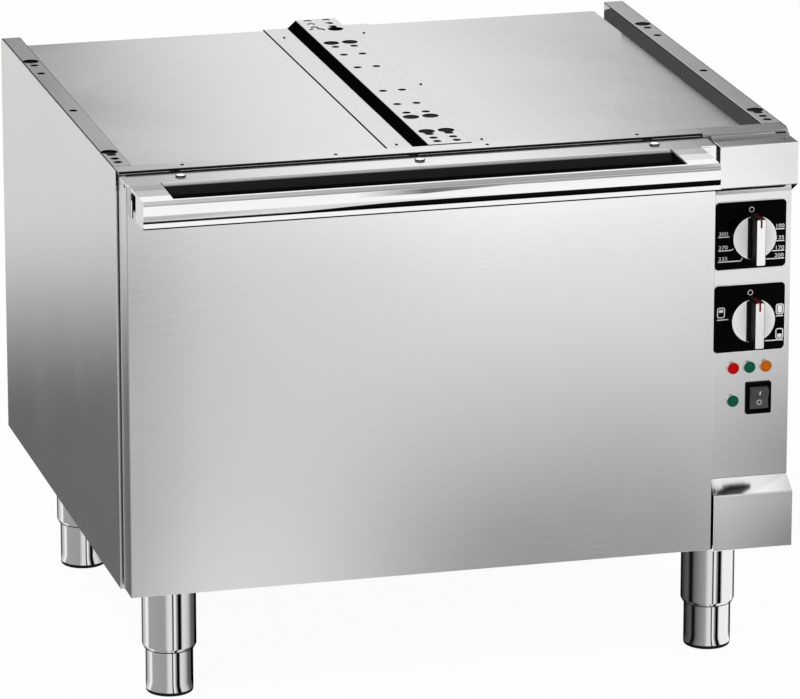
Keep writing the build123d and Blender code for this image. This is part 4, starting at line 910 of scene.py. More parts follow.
def rounded(points, radius, steps=4):
    """A line of points with each inner corner turned into a small curve."""
    line = [Vector(points[0])]
    for before, corner, after in zip(points, points[1:], points[2:]):
        corner = Vector(corner)
        back = Vector(before) - corner
        ahead = Vector(after) - corner
        reach = min(radius, 0.45 * back.length, 0.45 * ahead.length)
        start = corner + back.normalized() * reach
        end = corner + ahead.normalized() * reach
        for step in range(steps + 1):
            share = step / steps
            line.append(start.lerp(corner, share).lerp(corner.lerp(end, share), share))
    line.append(Vector(points[-1]))
    return line


def hexagon(angle):
    """How far out a hexagon's edge lies at an angle, where its corners lie at one."""
    sector = math.radians(60)
    return math.cos(sector / 2) / math.cos((angle % sector) - sector / 2)


def lathe(profile, steps=lathe_steps, socket=0.0):
    """Turn (radius, height) points round Z, closed at the poles; a socket radius is cut as a hexagon."""
    maker = bmesh.new()
    rings = []
    for radius, height in profile:
        if radius < weld:
            rings.append([maker.verts.new((0, 0, height))])
            continue
        ring = []
        for step in range(steps):
            angle = 2 * math.pi * step / steps
            reach = radius * hexagon(angle) if radius <= socket + weld else radius
            ring.append(maker.verts.new((reach * math.cos(angle), reach * math.sin(angle), height)))
        rings.append(ring)
    for lower, upper in zip(rings, rings[1:]):
        for step in range(steps):
            after = step + 1
            corners = [ring[place % len(ring)] for ring, place in (
                (lower, step), (lower, after), (upper, after), (upper, step),
            )]
            unique = list(dict.fromkeys(corners))
            if len(unique) > 2:
                maker.faces.new(unique)
    return maker


def ring_lathe(profile, steps=lathe_steps):
    """Turn a closed outline of (radius, height) points round Z."""
    maker = lathe(list(profile) + [profile[0]], steps)
    bmesh.ops.remove_doubles(maker, verts=maker.verts, dist=weld)
    return maker


def rectangle(low, high):
    """The corners between two opposite ones."""
    return (low[0], low[1]), (high[0], low[1]), (high[0], high[1]), (low[0], high[1])


def rounded_rectangle(width, height, radius, middle=(0, 0), steps=6):
    """Points round a rectangle with rounded corners, about its middle."""
    points = []
    for quarter, (side_x, side_y) in enumerate(((1, 1), (-1, 1), (-1, -1), (1, -1))):
        corner = Vector((side_x * (width / 2 - radius), side_y * (height / 2 - radius)))
        for step in range(steps + 1):
            angle = math.pi / 2 * (quarter + step / steps)
            points.append(corner + Vector((math.cos(angle), math.sin(angle))) * radius + Vector(middle))
    return points


def circle(radius, middle=(0, 0), steps=48):
    turn = 2 * math.pi / steps
    return [
        Vector((math.cos(step * turn), math.sin(step * turn))) * radius + Vector(middle)
        for step in range(steps)
    ]


def join_loops(maker, outlines, closed=False):
    """Loops of (points, height), each joined to the next one, and the last to the first if closed."""
    loops = []
    for points, height in outlines:
        loops.append([maker.verts.new((point[0], point[1], height)) for point in points])
    for lower, upper in zip(loops, loops[1:] + loops[:1] if closed else loops[1:]):
        for index in range(len(lower)):
            after = (index + 1) % len(lower)
            maker.faces.new((lower[index], lower[after], upper[after], upper[index]))
    return loops


def stack(maker, outlines):
    """Join loops of (points, height) into a closed solid."""
    loops = join_loops(maker, outlines)
    maker.faces.new(list(reversed(loops[0])))
    maker.faces.new(loops[-1])


def frame_ring(maker, outer, inner, low, high):
    """A flat frame between two outlines with as many points each."""
    join_loops(maker, ((outer, low), (outer, high), (inner, high), (inner, low)), closed=True)


def slab(maker, width, height, radius, low, high, ease, middle=(0, 0)):
    """A rounded plate from one height to another, its front edge eased."""
    outlines = []
    for inset, level in ((0, low), (0, high - ease), (0.3 * ease, high - 0.3 * ease), (ease, high)):
        corner = max(radius - inset, ease / 4)
        outlines.append((rounded_rectangle(width - 2 * inset, height - 2 * inset, corner, middle), level))
    stack(maker, outlines)


def band(maker, points, width, low, high):
    """A flat stroke of even width along a line of points."""
    points = [Vector(point) for point in points]
    left, right = [], []
    for index, point in enumerate(points):
        before = points[max(index - 1, 0)]
        after = points[min(index + 1, len(points) - 1)]
        across = (after - before).normalized().orthogonal() * width / 2
        left.append(point + across)
        right.append(point - across)
    stack(maker, [(left + right[::-1], level) for level in (low, high)])


def facing_front(x, y, z):
    """A place on the front: local X is right, local Y is up and local Z points to the viewer."""
    return Matrix.Translation((x, y, z)) @ Matrix.Rotation(math.radians(90), 4, "X")


# Casing, rails, deck, column and door
for material, radius, members in (
    (side_sheet, fold_radius, ("side_panel_left", "side_panel_right")),
    (left_rail_sheet, fold_radius, ("top_rail_left",)),
    (deck_sheet, fold_radius, ("top_deck", "back_cover", "base_pan")),
    (rail_sheet, fold_radius, ("centre_rail",)),
    (right_rail_sheet, fold_radius, ("top_rail_right",)),
    (column_sheet, fold_radius, ("control_panel",)),
    (trim_sheet, fold_radius, ("lower_trim",)),
    (cover_sheet, fold_radius, ("corner_cover",)),
    (strip_sheet, slight_radius, ("front_top_strip",)),
    (door_sheet, slight_radius, ("door_skin",)),
    (oven_sheet, fold_radius, ("door_inner_panel",)),
    (handle_metal, handle_radius, ("door_handle",)),
):
    for node in members:
        dressed = dress(node, material, radius)
        dressed.visible_glossy = node not in unreflected


def crown_handle(mesh):
    """Keep the handle's shallow folds crisp, crown its front, undercut it above the hem and stretch it."""
    maker = bmesh.new()
    maker.from_mesh(mesh)
    foot = handle_foot + handle_hem_height
    rise = handle_head - foot
    for edge in maker.edges:
        if edge.is_manifold and slight_fold < edge.calc_face_angle() < shallow_fold:
            edge.smooth = False
    for step in range(1, handle_crown_steps):
        level = foot + rise * step / handle_crown_steps
        everything = maker.verts[:] + maker.edges[:] + maker.faces[:]
        bmesh.ops.bisect_plane(maker, geom=everything, plane_co=(0, 0, level), plane_no=(0, 0, 1))
    for corner in maker.verts:
        share = (corner.co.z - foot) / rise
        if abs(corner.co.y - handle_nose) < 0.1 * mm and -0.001 < share < 1.001:
            low = max(0.0, 1 - (corner.co.z - foot) / handle_undercut_height)
            corner.co.y += handle_undercut * low**2 - handle_crown * math.sin(math.pi * share)
        elif corner.co.y < handle_nose - handle_hem_step / 2 and corner.co.z > foot - 2 * handle_hem_lean:
            corner.co.y += handle_hem_lean
        if corner.co.y < handle_nose + handle_skirt_depth and corner.co.z < handle_head:
            corner.co.z = handle_head - (handle_head - corner.co.z) * handle_stretch
    maker.to_mesh(mesh)
    maker.free()


crown_handle(bpy.data.objects["door_handle_sheet"].data)


# Strips
def folded_strip(name, outline, low, high, material, body, slot, turn=Matrix.Identity(4)):
    """A strip of one section, given in millimetres, from one level to another."""
    maker = bmesh.new()
    stack(maker, [([(a * mm, b * mm) for a, b in outline], level * mm) for level in (low, high)])
    bmesh.ops.transform(maker, matrix=turn, verts=maker.verts)
    return add_piece(name, maker, body, slot, material=material)


def corner_bead(name, node, edge, inward, top, material):
    """A bead that makes a sheet's rounded upright edge a crisp one."""
    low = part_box(node)[0] / mm
    front = low.y - bead_proud
    outline = ((edge + inward * bead_reach, front), (edge, front), (edge, front + bead_reach))
    folded_strip(name, outline, low.z, top, material, body_of_node[node], slot_of_node[node])


# A near-black strip put where there is only shade, as painted shade
def dark_strip(name, outline, low, high, turn=Matrix.Identity(4)):
    return folded_strip(name, outline, low, high, seal_rubber, "chassis", "gasket_rubber", turn)


# Crisp edges of the door and the control panel, and a tab that closes the door's front at the handle's end
tab_top = handle_high.z / mm - door_tab_gap
tab_left, tab_right, tab_front = handle_right / mm + tab_inset, skin_high.x / mm, door_front / mm
corner_bead("door_left_bead", "door_skin", door_left / mm, 1, tab_top, door_sheet)
corner_bead("door_right_bead", "door_skin", tab_right + door_bead_past, -1, tab_top, door_sheet)
corner_bead("panel_bead", "control_panel", panel_high.x / mm, -1, panel_high.z / mm, column_sheet)
door_tab = (
    (tab_left, tab_front), (tab_right, tab_front), (tab_right, tab_front + tab_depth),
    (tab_right - tab_sheet, tab_front + tab_depth), (tab_right - tab_sheet, tab_front + tab_sheet),
    (tab_left, tab_front + tab_sheet),
)
folded_strip("door_top_tab", door_tab, skin_high.z / mm, tab_top, door_sheet, "door", "door_steel")

# Painted shade: near-black sheets close under the tops of the rails, behind their holes, so that the holes look
# dark
for node, half, front_gap, rear_gap in rail_shade_sheets:
    low, high = (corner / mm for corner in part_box(node))
    middle = 0.0 if node == "centre_rail" else (low.x + high.x) / 2
    outline = rectangle((middle - half, low.y + front_gap), (middle + half, high.y - rear_gap))
    shade_sheet = dark_strip(f"{node}_backing", outline, *(high.z - depth for depth in shade_sheet_levels))
    shade_sheet.visible_glossy = False

# Painted shade: a near-black strip in the gap between the door and the lower trim
trim_low, trim_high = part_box("lower_trim")
dark_strip("trim_gap_strip", rectangle(*gap_strip), trim_low.z / mm + gap_strip_rise, trim_high.z / mm)

# Painted shade: near-black strips in two bands over the strip's front edge, closed at its right end, for the dark
# lines there
along_x = Matrix(((0, 0, 1, 0), (1, 0, 0, 0), (0, 1, 0, 0), (0, 0, 0, 1)))
strip_low, strip_high = (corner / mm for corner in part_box("front_top_strip"))
shade_line_face, shade_line_top = strip_low.y, strip_high.z
shade_line_front, shade_line_rear = shade_line_face - shade_line_sheet, shade_line_face + shade_line_cover
shade_line_upper = (
    (shade_line_front, shade_line_top - shade_line_upper_depth), (shade_line_front, shade_line_top + shade_line_sheet),
    (shade_line_rear, shade_line_top + shade_line_sheet), (shade_line_rear, shade_line_top), (shade_line_face, shade_line_top),
    (shade_line_face, shade_line_top - shade_line_upper_depth),
)
shade_line_foot = (shade_line_front, shade_line_top - shade_line_depth)
for name, outline, start in (
    ("strip_seal_upper", shade_line_upper, strip_low.x),
    ("strip_seal_lower", rectangle(shade_line_foot, (shade_line_face, shade_line_top - shade_line_lower_top)), strip_low.x),
    ("strip_seal_stop", rectangle(shade_line_foot, (shade_line_face, shade_line_top)), shade_line_end - shade_line_stop_width),
):
    dark_strip(name, outline, start, shade_line_end, along_x).visible_glossy = False

# Gasket and oven
dress("door_gasket", finish_of_slot["gasket_rubber"], gasket_radius, "body")
for node in ("front_frame", "fan_baffle", "floor_plate", "rack_guide_left", "rack_guide_right"):
    dress(node, oven_sheet, oven_radius)


# Screws and rivets
def solid_middles(node):
    """The middle of each separate solid in a node, with its lowest and highest corner."""
    maker = copied(node)
    waiting, found = set(maker.verts), []
    while waiting:
        island, growing = [], [waiting.pop()]
        while growing:
            corner = growing.pop()
            island.append(corner.co.copy())
            for edge in corner.link_edges:
                other = edge.other_vert(corner)
                if other in waiting:
                    waiting.remove(other)
                    growing.append(other)
        low, high = (Vector([pick(axis) for axis in zip(*island)]) for pick in (min, max))
        found.append(((low + high) / 2, low, high))
    maker.free()
    return sorted(found, key=lambda entry: tuple(entry[0]))


def dress_heads(node, material, share, rise):
    """Low domed heads with hexagon sockets, one for each solid of a node."""
    for count, (middle, low, high) in enumerate(solid_middles(node), 1):
        radius = (high.x - low.x) / 2 * share
        socket = radius * screw_socket_share
        base = high.z - low.z - rise
        profile = [(0, 0), (radius / 2, 0), (radius / 2, base), (radius, base)]
        for angle in map(math.radians, screw_dome):
            profile.append((radius * math.cos(angle), base + rise * math.sin(angle)))
        profile += [(socket, base + rise * 0.92), (socket, base + 0.3 * rise), (0, base + 0.2 * rise)]
        place = Matrix.Translation((middle.x, middle.y, low.z))
        maker = lathe([Vector(point) for point in profile], screw_steps, socket)
        add_piece(f"{node}_{count}", maker, body_of_node[node], slot_of_node[node], node, place, material)


dress_heads("handle_screws", screw_metal, handle_head_share, handle_head_rise)
for node in ("strip_screws", "deck_rivets"):
    dress_heads(node, dark_screw, small_head_share, small_head_rise)


# Dial plates
def dress_plate(node):
    """A black plate with an eased edge and a light border in white ink, a painted highlight along its edge;
    returns the plate's place for its marks.
    """
    low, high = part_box(node)
    size = high - low
    place = facing_front((low.x + high.x) / 2, low.y, (low.z + high.z) / 2)
    wide, tall = size.x + plate_reach, size.z
    middle = (-plate_reach / 2, 0)
    maker = bmesh.new()
    slab(maker, wide, tall, plate_corner, -size.y, 0, plate_ease, middle)
    add_piece(f"{node}_face", maker, "chassis", "dial_black", node, place)
    # The border is a painted highlight along the plate's edge, in white ink
    margin = 2 * plate_border
    outer = rounded_rectangle(wide + margin, tall + margin, plate_corner + plate_border, middle)
    inner = rounded_rectangle(wide, tall, plate_corner, middle)
    border = bmesh.new()
    frame_ring(border, outer, inner, -size.y, -plate_border_depth * size.y)
    add_piece(f"{node}_border", border, "chassis", "casing_steel", None, place, white_ink)
    return place


def write_digits(maker, words, x, y):
    """Plain digits, right of x and standing on y, drawn out to the dial's wide figures."""
    text = bpy.data.curves.new("digits", "FONT")
    text.body = words
    text.size = digit_height / digit_share
    text.extrude = mark_sheet / 2
    carrier = bpy.data.objects.new("digits", text)
    bpy.context.scene.collection.objects.link(carrier)
    bpy.context.view_layer.update()
    drawn = bpy.data.meshes.new_from_object(carrier.evaluated_get(bpy.context.evaluated_depsgraph_get()))
    drawn.transform(Matrix.Translation((x, y, mark_sheet / 2)) @ Matrix.Diagonal((digit_stretch, 1, 1, 1)))
    maker.from_mesh(drawn)
    bpy.data.objects.remove(carrier)
    bpy.data.meshes.remove(drawn)


def draw_sign(maker, middle, foot, tall):
    """An oven's outline with the lit part of its window."""
    outer = rounded_rectangle(icon_width, icon_height, icon_corner, middle)
    inside = (icon_width - 2 * icon_line, icon_height - 2 * icon_line, icon_corner - icon_line)
    frame_ring(maker, outer, rounded_rectangle(*inside, middle), 0, mark_sheet)
    lit = (middle[0], middle[1] + foot + tall / 2)
    slab(maker, icon_inner_width, tall, icon_inner_corner, 0, mark_sheet, mark_sheet / 2, lit)


def mark_plate(node, place, figures=(), signs=()):
    """A dial plate's zero ring, figures, signs and leader lines, in white ink."""
    maker = bmesh.new()
    rings = (circle(radius, (0, zero_height)) for radius in (zero_radius, zero_radius - zero_line))
    frame_ring(maker, *rings, 0, mark_sheet)
    for words, x, foot, _ in figures:
        write_digits(maker, words, x * mm, foot * mm)
    for (x, y), (foot, tall), _ in signs:
        draw_sign(maker, (x * mm, y * mm), foot * mm, tall * mm)
    for *_, leader in (*figures, *signs):
        band(maker, [(a * mm, b * mm) for a, b in leader], mark_line, 0, mark_sheet)
    add_piece(f"{node}_marks", maker, "chassis", "dial_black", None, place, white_ink)


thermostat_place = dress_plate("thermostat_plate")
selector_place = dress_plate("selector_plate")
mark_plate("thermostat_plate", thermostat_place, figures=thermostat_scale)
mark_plate("selector_plate", selector_place, signs=selector_signs)


# Knobs
def dress_knob(node):
    """A black skirt and grip bar, a bright disc and cap, and a red pointer."""
    low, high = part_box(node)
    top = knob_skirt + knob_grip_height
    face = top + pointer_sheet
    shaft = high.y - low.y - top
    place = facing_front((low.x + high.x) / 2, low.y + top, (low.z + high.z) / 2)

    def add(part, maker, slot, material, stands_for=None):
        add_piece(f"{node}_{part}", maker, body_of_node[node], slot, stands_for, place, material)

    outline = [(0, -shaft), (shaft_radius, -shaft), (shaft_radius, 0), (knob_radius, 0)]
    outline += [(knob_radius - knob_taper, knob_skirt), (0, knob_skirt)]
    add("skirt", lathe(rounded(outline, knob_round)), "black_plastic", knob_black, node)

    disc_top = knob_skirt + knob_disc_sheet
    outline = [(0, knob_skirt), (knob_disc_radius, knob_skirt), (knob_disc_radius, disc_top), (0, disc_top)]
    add("disc", lathe(rounded(outline, knob_disc_sheet / 2)), "knob_silver", finish_of_slot["knob_silver"])

    grip = bmesh.new()
    flare_width, flare_top = knob_grip_width + 2 * knob_flare, knob_skirt + knob_flare_height
    slab(grip, knob_grip_width, knob_grip_length, knob_grip_corner, knob_skirt / 2, top, knob_round)
    slab(grip, flare_width, knob_flare_length, knob_grip_corner, knob_skirt / 2, flare_top, knob_flare)
    add("grip", grip, "black_plastic", knob_black)

    cap = bmesh.new()
    cap_width, cap_length = (size - 2 * knob_cap_margin for size in (knob_grip_width, knob_grip_length))
    slab(cap, cap_width, cap_length, knob_cap_corner, top - knob_cap_sheet, face, knob_cap_ease)
    add("cap", cap, "knob_silver", cap_silver)

    # The pointer lies down the grip's end and over the cap's
    pointer = bmesh.new()
    corner, ease = pointer_width / 3, pointer_sheet / 2
    run = top - knob_skirt - knob_round
    head = knob_grip_length / 2
    slab(pointer, pointer_width, run, corner, 0, pointer_sheet, ease)
    turn = Matrix.Translation((0, head, knob_skirt + run / 2)) @ Matrix.Rotation(math.radians(-90), 4, "X")
    bmesh.ops.transform(pointer, matrix=turn, verts=pointer.verts)
    middle = (0, head - pointer_length / 2 - knob_cap_margin)
    slab(pointer, pointer_width, pointer_length, corner, face, face + pointer_sheet, ease, middle)
    add("pointer", pointer, "lens_red", red_ink)


dress_knob("thermostat_knob")
dress_knob("selector_knob")


# Lamps
def dress_lamps(node, slot):
    """A low-domed lens and a chromed bezel for each lamp of a node."""
    bezel_low, bezel_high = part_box("lamp_bezels")
    bezel_height = bezel_high.y - bezel_low.y
    bezel = [(lens_radius, 0), (bezel_radius, 0), (bezel_radius, bezel_height), (lens_radius, bezel_height)]
    for count, (middle, low, high) in enumerate(solid_middles(node), 1):
        depth = high.y - low.y
        lens = [(0, 0), (lens_radius, 0), (lens_radius, depth - lens_dome), (0, depth)]
        place = facing_front(middle.x, high.y + lamp_sink, middle.z)
        add_piece(f"{node}_lens_{count}", lathe(rounded(lens, lens_round)), "chassis", slot, node, place)
        place = facing_front(middle.x, bezel_high.y + lamp_sink, middle.z)
        ring = ring_lathe(rounded(bezel, bezel_lip))
        add_piece(f"{node}_bezel_{count}", ring, "chassis", "chrome_trim", "lamp_bezels", place)


dress_lamps("lamp_red", "lens_red")
dress_lamps("lamps_green", "lens_green")
dress_lamps("lamp_orange", "lens_orange")


# Rocker switch
dress("rocker_frame", finish_of_slot["black_plastic"], rocker_edge, "body")
dress("rocker_button", finish_of_slot["rocker_plastic"], rocker_edge, "body")


def mark_rocker(name, maker, side, rise):
    """A grey mark on the rocker's upper or lower face, a rise above the face's middle."""
    tip_rise = math.sqrt(rocker_radius**2 - rocker_tip_reach**2)
    lean = math.atan2(rocker_tip_reach - rocker_valley, tip_rise)
    reach = (rocker_tip_reach + rocker_valley) / 2
    place = Matrix.Translation(pivots["rocker_tip"]) @ Matrix.Rotation(rocker_tilt, 4, "X")
    place = place @ Matrix.Translation((0, -reach, side * tip_rise / 2))
    place = place @ Matrix.Rotation(math.radians(90) + side * lean, 4, "X") @ Matrix.Translation((0, rise, 0))
    add_piece(name, maker, "rocker_button_body", "rocker_plastic", None, place, grey_ink)


on_bar = bmesh.new()
slab(on_bar, rocker_bar_width, rocker_bar_height, rocker_bar_corner, 0, mark_sheet, mark_sheet / 2)
mark_rocker("rocker_on_mark", on_bar, 1, rocker_bar_rise)
off_ring = bmesh.new()
off_inner = circle(rocker_ring_radius - rocker_ring_line)
frame_ring(off_ring, circle(rocker_ring_radius), off_inner, 0, mark_sheet)
mark_rocker("rocker_off_mark", off_ring, -1, rocker_ring_rise)


# Legs and feet
def standing(node):
    """The middle of a node's lower end, and its height."""
    low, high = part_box(node)
    return Matrix.Translation(((low.x + high.x) / 2, (low.y + high.y) / 2, low.z)), high.z - low.z


def dress_leg(corner):
    """A chromed tube with a mounting plate, and a foot with a black pad."""
    leg, foot = f"leg_{corner}", f"foot_{corner}"
    place, top = standing(leg)
    tube_top = top - leg_plate_sheet
    bore = leg_radius - leg_wall
    outline = [(leg_bore, 0), (leg_neck_radius, 0), (leg_radius, leg_shoulder), (leg_radius, tube_top)]
    outline += [(bore, tube_top), (bore, leg_guide_height), (leg_bore, leg_guide_height)]
    tube = ring_lathe(rounded(outline, leg_round))
    add_piece(f"{leg}_tube", tube, "chassis", "leg_chrome", leg, place)
    plate = bmesh.new()
    slab(plate, leg_plate, leg_plate, leg_plate_corner, tube_top, top, leg_plate_ease)
    add_piece(f"{leg}_plate", plate, "chassis", "leg_chrome", None, place)

    place, top = standing(foot)
    bore = foot_radius - foot_wall / 2
    outline = [(bore, foot_pad_height), (foot_radius, foot_pad_height), (foot_radius, top), (bore, top)]
    tube = ring_lathe(rounded(outline, foot_round))
    add_piece(f"{foot}_tube", tube, f"{foot}_body", "leg_chrome", foot, place)
    outline = rounded([(0, 0), (foot_pad_radius, 0), (foot_pad_radius, 2 * pad_round)], pad_round)
    pad = lathe(outline + [Vector((0, 2 * pad_round))])
    add_piece(f"{foot}_pad", pad, f"{foot}_body", "gasket_rubber", None, place, pad_rubber)


for corner in ("front_left", "front_right", "rear_left", "rear_right"):
    dress_leg(corner)

# Studio: white floor and air, soft cards that only reflections see, soft lamps
floor_reach = 60.0
floor_white = 0.93        # how much of the floor is plain white to the eye, the rest takes the shadow
air_light = 0.55
card_level = 2 * mm
ceiling_level = 2.3
back_card_level = 3.0
lamp_size = 2.4
lamp_aim = Vector((0, 0, 0.4))
lamps = (
    ("key_lamp", (-2.4, -2.6, 3.2), 90),
    ("fill_lamp", (2.8, -2.0, 2.4), 40),
    ("rear_lamp", (0.5, 3.0, 3.0), 40),
)

# Density of the cards, as ramps (from and to, and the value at each) and bands (from, to and softness)
front_skew, front_skew_start = 0.28, 0.9
front_right = (-0.12, 0.22, 0.0, 1.0)
front_near = (-2.16, -0.9, 0.0, 0.655)
front_left = (-0.10, 0.20, 0.26, 0.0)
front_left_near = (-1.2, -0.8, 1.0, 0.7)
front_left_edge = (-0.30, -0.17, 0.24, 0.0)
front_left_far = (-2.62, -2.52, 0.0, 1.0)
column_dip = (0.455, 0.485, 1.0, 0.85)
column_rise = (0.485, 0.61, 0.0, 0.40)
trim_left = (0.455, 0.485, 0.0, 1.0)
trim_foot = (-1.02, -0.98, 0.0, 1.0)
trim_fade = (-1.0, -0.77, 0.26, 0.0)
cover_band = (-2.8, -2.35, 0.1)
cover_fade = (1.03, 1.17, 0.0, 0.34)
left_far = (0.85, 1.95, 0.85, 0.26)
left_side = (-1.5, -1.1, 0.0, 1.0)
left_front = (-0.35, 0.05, 0.0, 1.0)
rear_right, rear_behind = 0.40, 0.37
rear_start = (0.02, 0.1, 0.0, 1.0)
rear_fade = (0.4, 2.6, 0.66, 0.12)
back_eye, back_drop, back_span = 1.79, 1.149, 1.776
back_front = (1.265, 1.523, 0.0, 1.0)
back_left, back_left_power, back_left_share = (-0.37, 0.0, 1.0, 0.0), 2.6, (0.0, 1.0, 0.70, 0.46)
back_right, back_right_power, back_right_share = (0.0, 0.37, 0.0, 1.0), 1.4, (0.0, 1.0, 0.27, 0.9)
back_base = (0.0, 1.0, 0.16, 0.05)
back_head = (1.846, 1.856, 1.0, 0.0)
first_fold, first_fold_tone = (1.606, 1.698, 0.004), 0.11
second_fold, second_fold_tone = (1.702, 1.846, 0.004), 0.08
ceiling_across = (-0.5, 0.45, 0.22, 0.60)
ceiling_front = (-2.6, -2.4, 0.05, 0.0)
ceiling_band = (-5.8, 2.2, 0.2)
window_across = (0.84, 1.04, 0.06)
window_along = (-1.0, 0.35, 0.1)


def white_floor():
    look = Look("studio_floor")
    look.set(base_color=(0.9, 0.9, 0.9, 1), roughness=0.9, specular_ior_level=0.0)
    white = look.times(look.seen_directly(), floor_white)
    look.blend(white, look.shader.outputs["BSDF"], look.glow(1.0).outputs["Emission"])
    return look.material


def card_material(name, density):
    """A black card whose density is worked out over its own place."""
    look = Look(name)
    clear = look.add("ShaderNodeBsdfTransparent").outputs["BSDF"]
    look.blend(density(look), clear, look.glow(0.0).outputs["Emission"])
    return look.material


def glow_material(name, tone):
    """A card that shines with tones worked out over its own place."""
    look = Look(name)
    glow = look.glow(1.0)
    look.link(tone(look), glow.inputs["Color"])
    look.show(glow.outputs["Emission"])
    return look.material


def front_density(look):
    """Deep at the front right near the oven, fading forward; an even light tone at the left."""
    x, y, z = look.axes()
    across = look.plus(x, look.times(look.plus(y, front_skew_start), front_skew))
    trim = look.times(look.ramp(across, *trim_left), look.ramp(y, *trim_foot), look.ramp(y, *trim_fade))
    column = look.plus(look.ramp(across, *column_dip), look.ramp(across, *column_rise))
    column = look.times(column, look.minus(1.0, trim))
    deep = look.times(look.ramp(across, *front_right, smooth), look.ramp(y, *front_near), column)
    left = look.times(look.ramp(across, *front_left, smooth), look.ramp(y, *front_left_near))
    left = look.plus(left, look.ramp(across, *front_left_edge, smooth))
    deep = look.plus(deep, look.times(left, look.ramp(y, *front_left_far)))
    return look.plus(deep, look.times(look.within(y, *cover_band), look.ramp(x, *cover_fade)))


def left_density(look):
    """Deep beside the oven's left rear, fading to a light tone further back."""
    x, y, z = look.axes()
    beside = look.times(look.ramp(x, *left_side, smooth), look.ramp(y, *left_front, smooth))
    return look.times(look.ramp(y, *left_far, smooth), beside)


def rear_density(look):
    """Deep close behind the oven and at its right, fading outwards."""
    x, y, z = look.axes()
    away = look.most(look.minus(x, rear_right), look.minus(y, rear_behind))
    return look.times(look.ramp(away, *rear_start), look.ramp(away, *rear_fade, smooth))


def back_density(look):
    """Greys that the deck shows at its sides, and narrow steps over them for the handle's folds."""
    x, y, z = look.axes()
    spread = look.maths("DIVIDE", look.plus(z, back_drop), back_span)
    deck_x = look.minus(look.maths("DIVIDE", look.plus(x, back_eye), spread), back_eye)
    front = look.ramp(z, *back_front)
    left = look.power(look.ramp(deck_x, *back_left), back_left_power)
    left = look.times(left, look.ramp(front, *back_left_share))
    right = look.power(look.ramp(deck_x, *back_right), back_right_power)
    right = look.times(right, look.ramp(front, *back_right_share))
    tone = look.plus(look.ramp(front, *back_base), look.plus(left, right))
    tone = look.plus(tone, look.times(look.within(z, *first_fold), first_fold_tone))
    tone = look.minus(tone, look.times(look.within(z, *second_fold), second_fold_tone))
    return look.times(tone, look.ramp(z, *back_head))


def ceiling_density(look):
    """A grey ceiling, lighter at the left, with a darker band in front and a window over the lower trim."""
    x, y, z = look.axes()
    tone = look.plus(look.ramp(x, *ceiling_across), look.ramp(y, *ceiling_front))
    window = look.times(look.within(x, *window_across), look.within(y, *window_along))
    return look.times(tone, look.within(y, *ceiling_band), look.minus(1.0, window))


def stage_sheet(name, low, high, level, material, axis=2):
    """A plain sheet at a level along one axis, between two corners on the other axes."""
    maker = bmesh.new()
    corners = rectangle(low, high)
    maker.faces.new([maker.verts.new((*corner[:axis], level, *corner[axis:])) for corner in corners])
    sheet = add_object(name, maker, material)
    return sheet


def reflected_only(card):
    card.visible_camera = False
    card.visible_diffuse = False
    card.visible_shadow = False
    card.visible_transmission = False


stage_sheet("studio_floor", (-floor_reach, -floor_reach), (floor_reach, floor_reach), 0.0, white_floor())
for name, low, high, level, density, axis in (
    ("front_card", (-1.6, -4.0), (2.2, -0.55), card_level, front_density, 2),
    ("left_card", (-1.6, -0.4), (-0.42, 4.0), card_level, left_density, 2),
    ("rear_card", (-0.42, -0.54), (3.2, 4.0), card_level, rear_density, 2),
    ("back_card", (-3.0, 0.9), (3.0, 1.9), back_card_level, back_density, 1),
    ("ceiling_card", (-3.0, -6.0), (3.0, 2.4), ceiling_level, ceiling_density, 2),
):
    reflected_only(stage_sheet(name, low, high, level, card_material(name, density), axis))

# Round each leg stands a low ring of light and dark strips, which streak its chrome: place across, and tone
leg_ring_radius = 46.0 * mm
leg_ring_gap = 0.3 * mm
leg_ring_low = 0.4 * mm
leg_ring_skirt = 8.0 * mm
leg_ring_high = 146.0 * mm
leg_ring_reach = math.radians(140)
leg_ring_rear = (math.radians(150), math.radians(158), 0.0, 0.75)
middle_streaks = (
    (-0.13, 0.33), (0.00, 0.72), (0.13, 0.76), (0.16, 0.03), (0.19, 0.03), (0.22, 0.93), (0.26, 0.86),
    (0.30, 0.40), (0.37, 0.00), (0.46, 0.00), (0.50, 0.60),
)
left_leg_streaks = (
    ((-1.00, 0.10), (-0.95, 0.12), (-0.92, 0.54), (-0.86, 0.56), (-0.82, 0.90), (-0.76, 0.90), (-0.71, 0.36)),
    ((0.55, 0.74), (0.70, 0.56), (0.77, 0.30), (0.83, 0.10), (0.90, 0.10), (0.94, 0.00), (1.00, 0.00)),
)
right_leg_streaks = (
    ((-1.00, 0.01), (-0.95, 0.01), (-0.88, 0.06), (-0.76, 0.10), (-0.68, 0.01), (-0.61, 0.00), (-0.50, 0.14)),
    ((0.54, 0.90), (0.84, 0.90), (0.90, 1.00), (0.94, 0.20), (0.98, 0.00), (1.00, 0.00)),
)


def ring_share(across):
    """Where the reflection seen at a place across a leg meets its ring, from zero to one."""
    lean = math.asin(across)
    start = Vector((math.cos(lean), math.sin(lean))) * leg_radius
    aim = Vector((math.cos(2 * lean), math.sin(2 * lean)))
    run = math.sqrt(leg_ring_radius**2 - start.y**2) - start.x
    meet = start + aim * run
    return 0.5 + math.atan2(meet.y, meet.x) / (2 * leg_ring_reach)


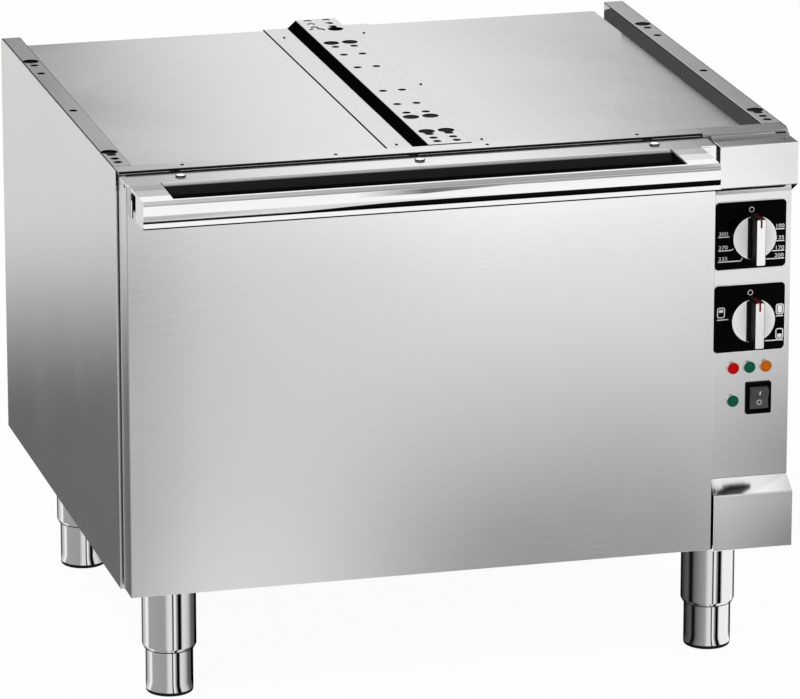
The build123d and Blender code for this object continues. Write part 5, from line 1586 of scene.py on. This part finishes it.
def leg_ring(corner, streaks):
    """A low ring that stands round a leg, its strips turned to the camera's side."""
    stops = [(ring_share(across), tone) for across, tone in streaks]

    def glow(look):
        x, y, z = look.axes()
        turn = look.maths("ARCTAN2", y, x)
        streaked = look.tones(look.ramp(turn, -leg_ring_reach, leg_ring_reach, 0.0, 1.0), stops)
        return look.most(streaked, look.ramp(look.maths("ABSOLUTE", turn), *leg_ring_rear))

    skirt = (foot_radius + leg_ring_gap, leg_ring_low)
    maker = lathe([skirt, (leg_ring_radius, leg_ring_skirt), (leg_ring_radius, leg_ring_high)])
    ring = add_object(f"ring_{corner}", maker, glow_material(f"ring_{corner}", glow))
    low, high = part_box(f"leg_{corner}")
    middle = (low + high) / 2
    upward = Vector((0, 0, 1))
    back = Vector((-camera_right[1], camera_right[0], 0)).normalized()
    turned = Matrix((-back, back.cross(upward), upward)).transposed()
    ring.matrix_world = Matrix.Translation((middle.x, middle.y, 0)) @ turned.to_4x4()
    reflected_only(ring)


for side, streaks in (("left", left_leg_streaks), ("right", right_leg_streaks)):
    for end in ("front", "rear"):
        leg_ring(f"{end}_{side}", streaks[0] + middle_streaks + streaks[1])


def soft_lamp(name, place, power):
    """A broad lamp that lights the object without showing in its metal."""
    data = bpy.data.lights.new(name, "AREA")
    data.shape = "RECTANGLE"
    data.size = lamp_size
    data.size_y = lamp_size
    data.energy = power
    lamp = bpy.data.objects.new(name, data)
    bpy.context.scene.collection.objects.link(lamp)
    lamp.location = place
    lamp.rotation_mode = "QUATERNION"
    lamp.rotation_quaternion = (lamp_aim - Vector(place)).to_track_quat("-Z", "Y")
    lamp.visible_camera = False
    lamp.visible_glossy = False


for name, place, power in lamps:
    soft_lamp(name, place, power)

world = bpy.data.worlds.new("studio_air")
world.use_nodes = True
air = Tree(world.node_tree)
background = air.tree.nodes["Background"]
background.inputs["Color"].default_value = (1, 1, 1, 1)
air.link(air.ramp(air.seen_directly(), 0.0, 1.0, air_light, 1.0), background.inputs["Strength"])
bpy.context.scene.world = world

# Camera
camera_data = bpy.data.cameras.new("photo_camera")
camera_data.lens = camera_lens
camera_data.sensor_width = camera_sensor
camera_data.clip_end = camera_reach
camera = bpy.data.objects.new("photo_camera", camera_data)
bpy.context.scene.collection.objects.link(camera)
right = Vector(camera_right).normalized()
forward = Vector(camera_forward).normalized()
turn = Matrix((right, right.cross(forward), -forward)).transposed()
camera.matrix_world = Matrix.Translation(camera_eye) @ turn.to_4x4()
bpy.context.scene.camera = camera
bpy.context.scene.view_settings.view_transform = "Standard"
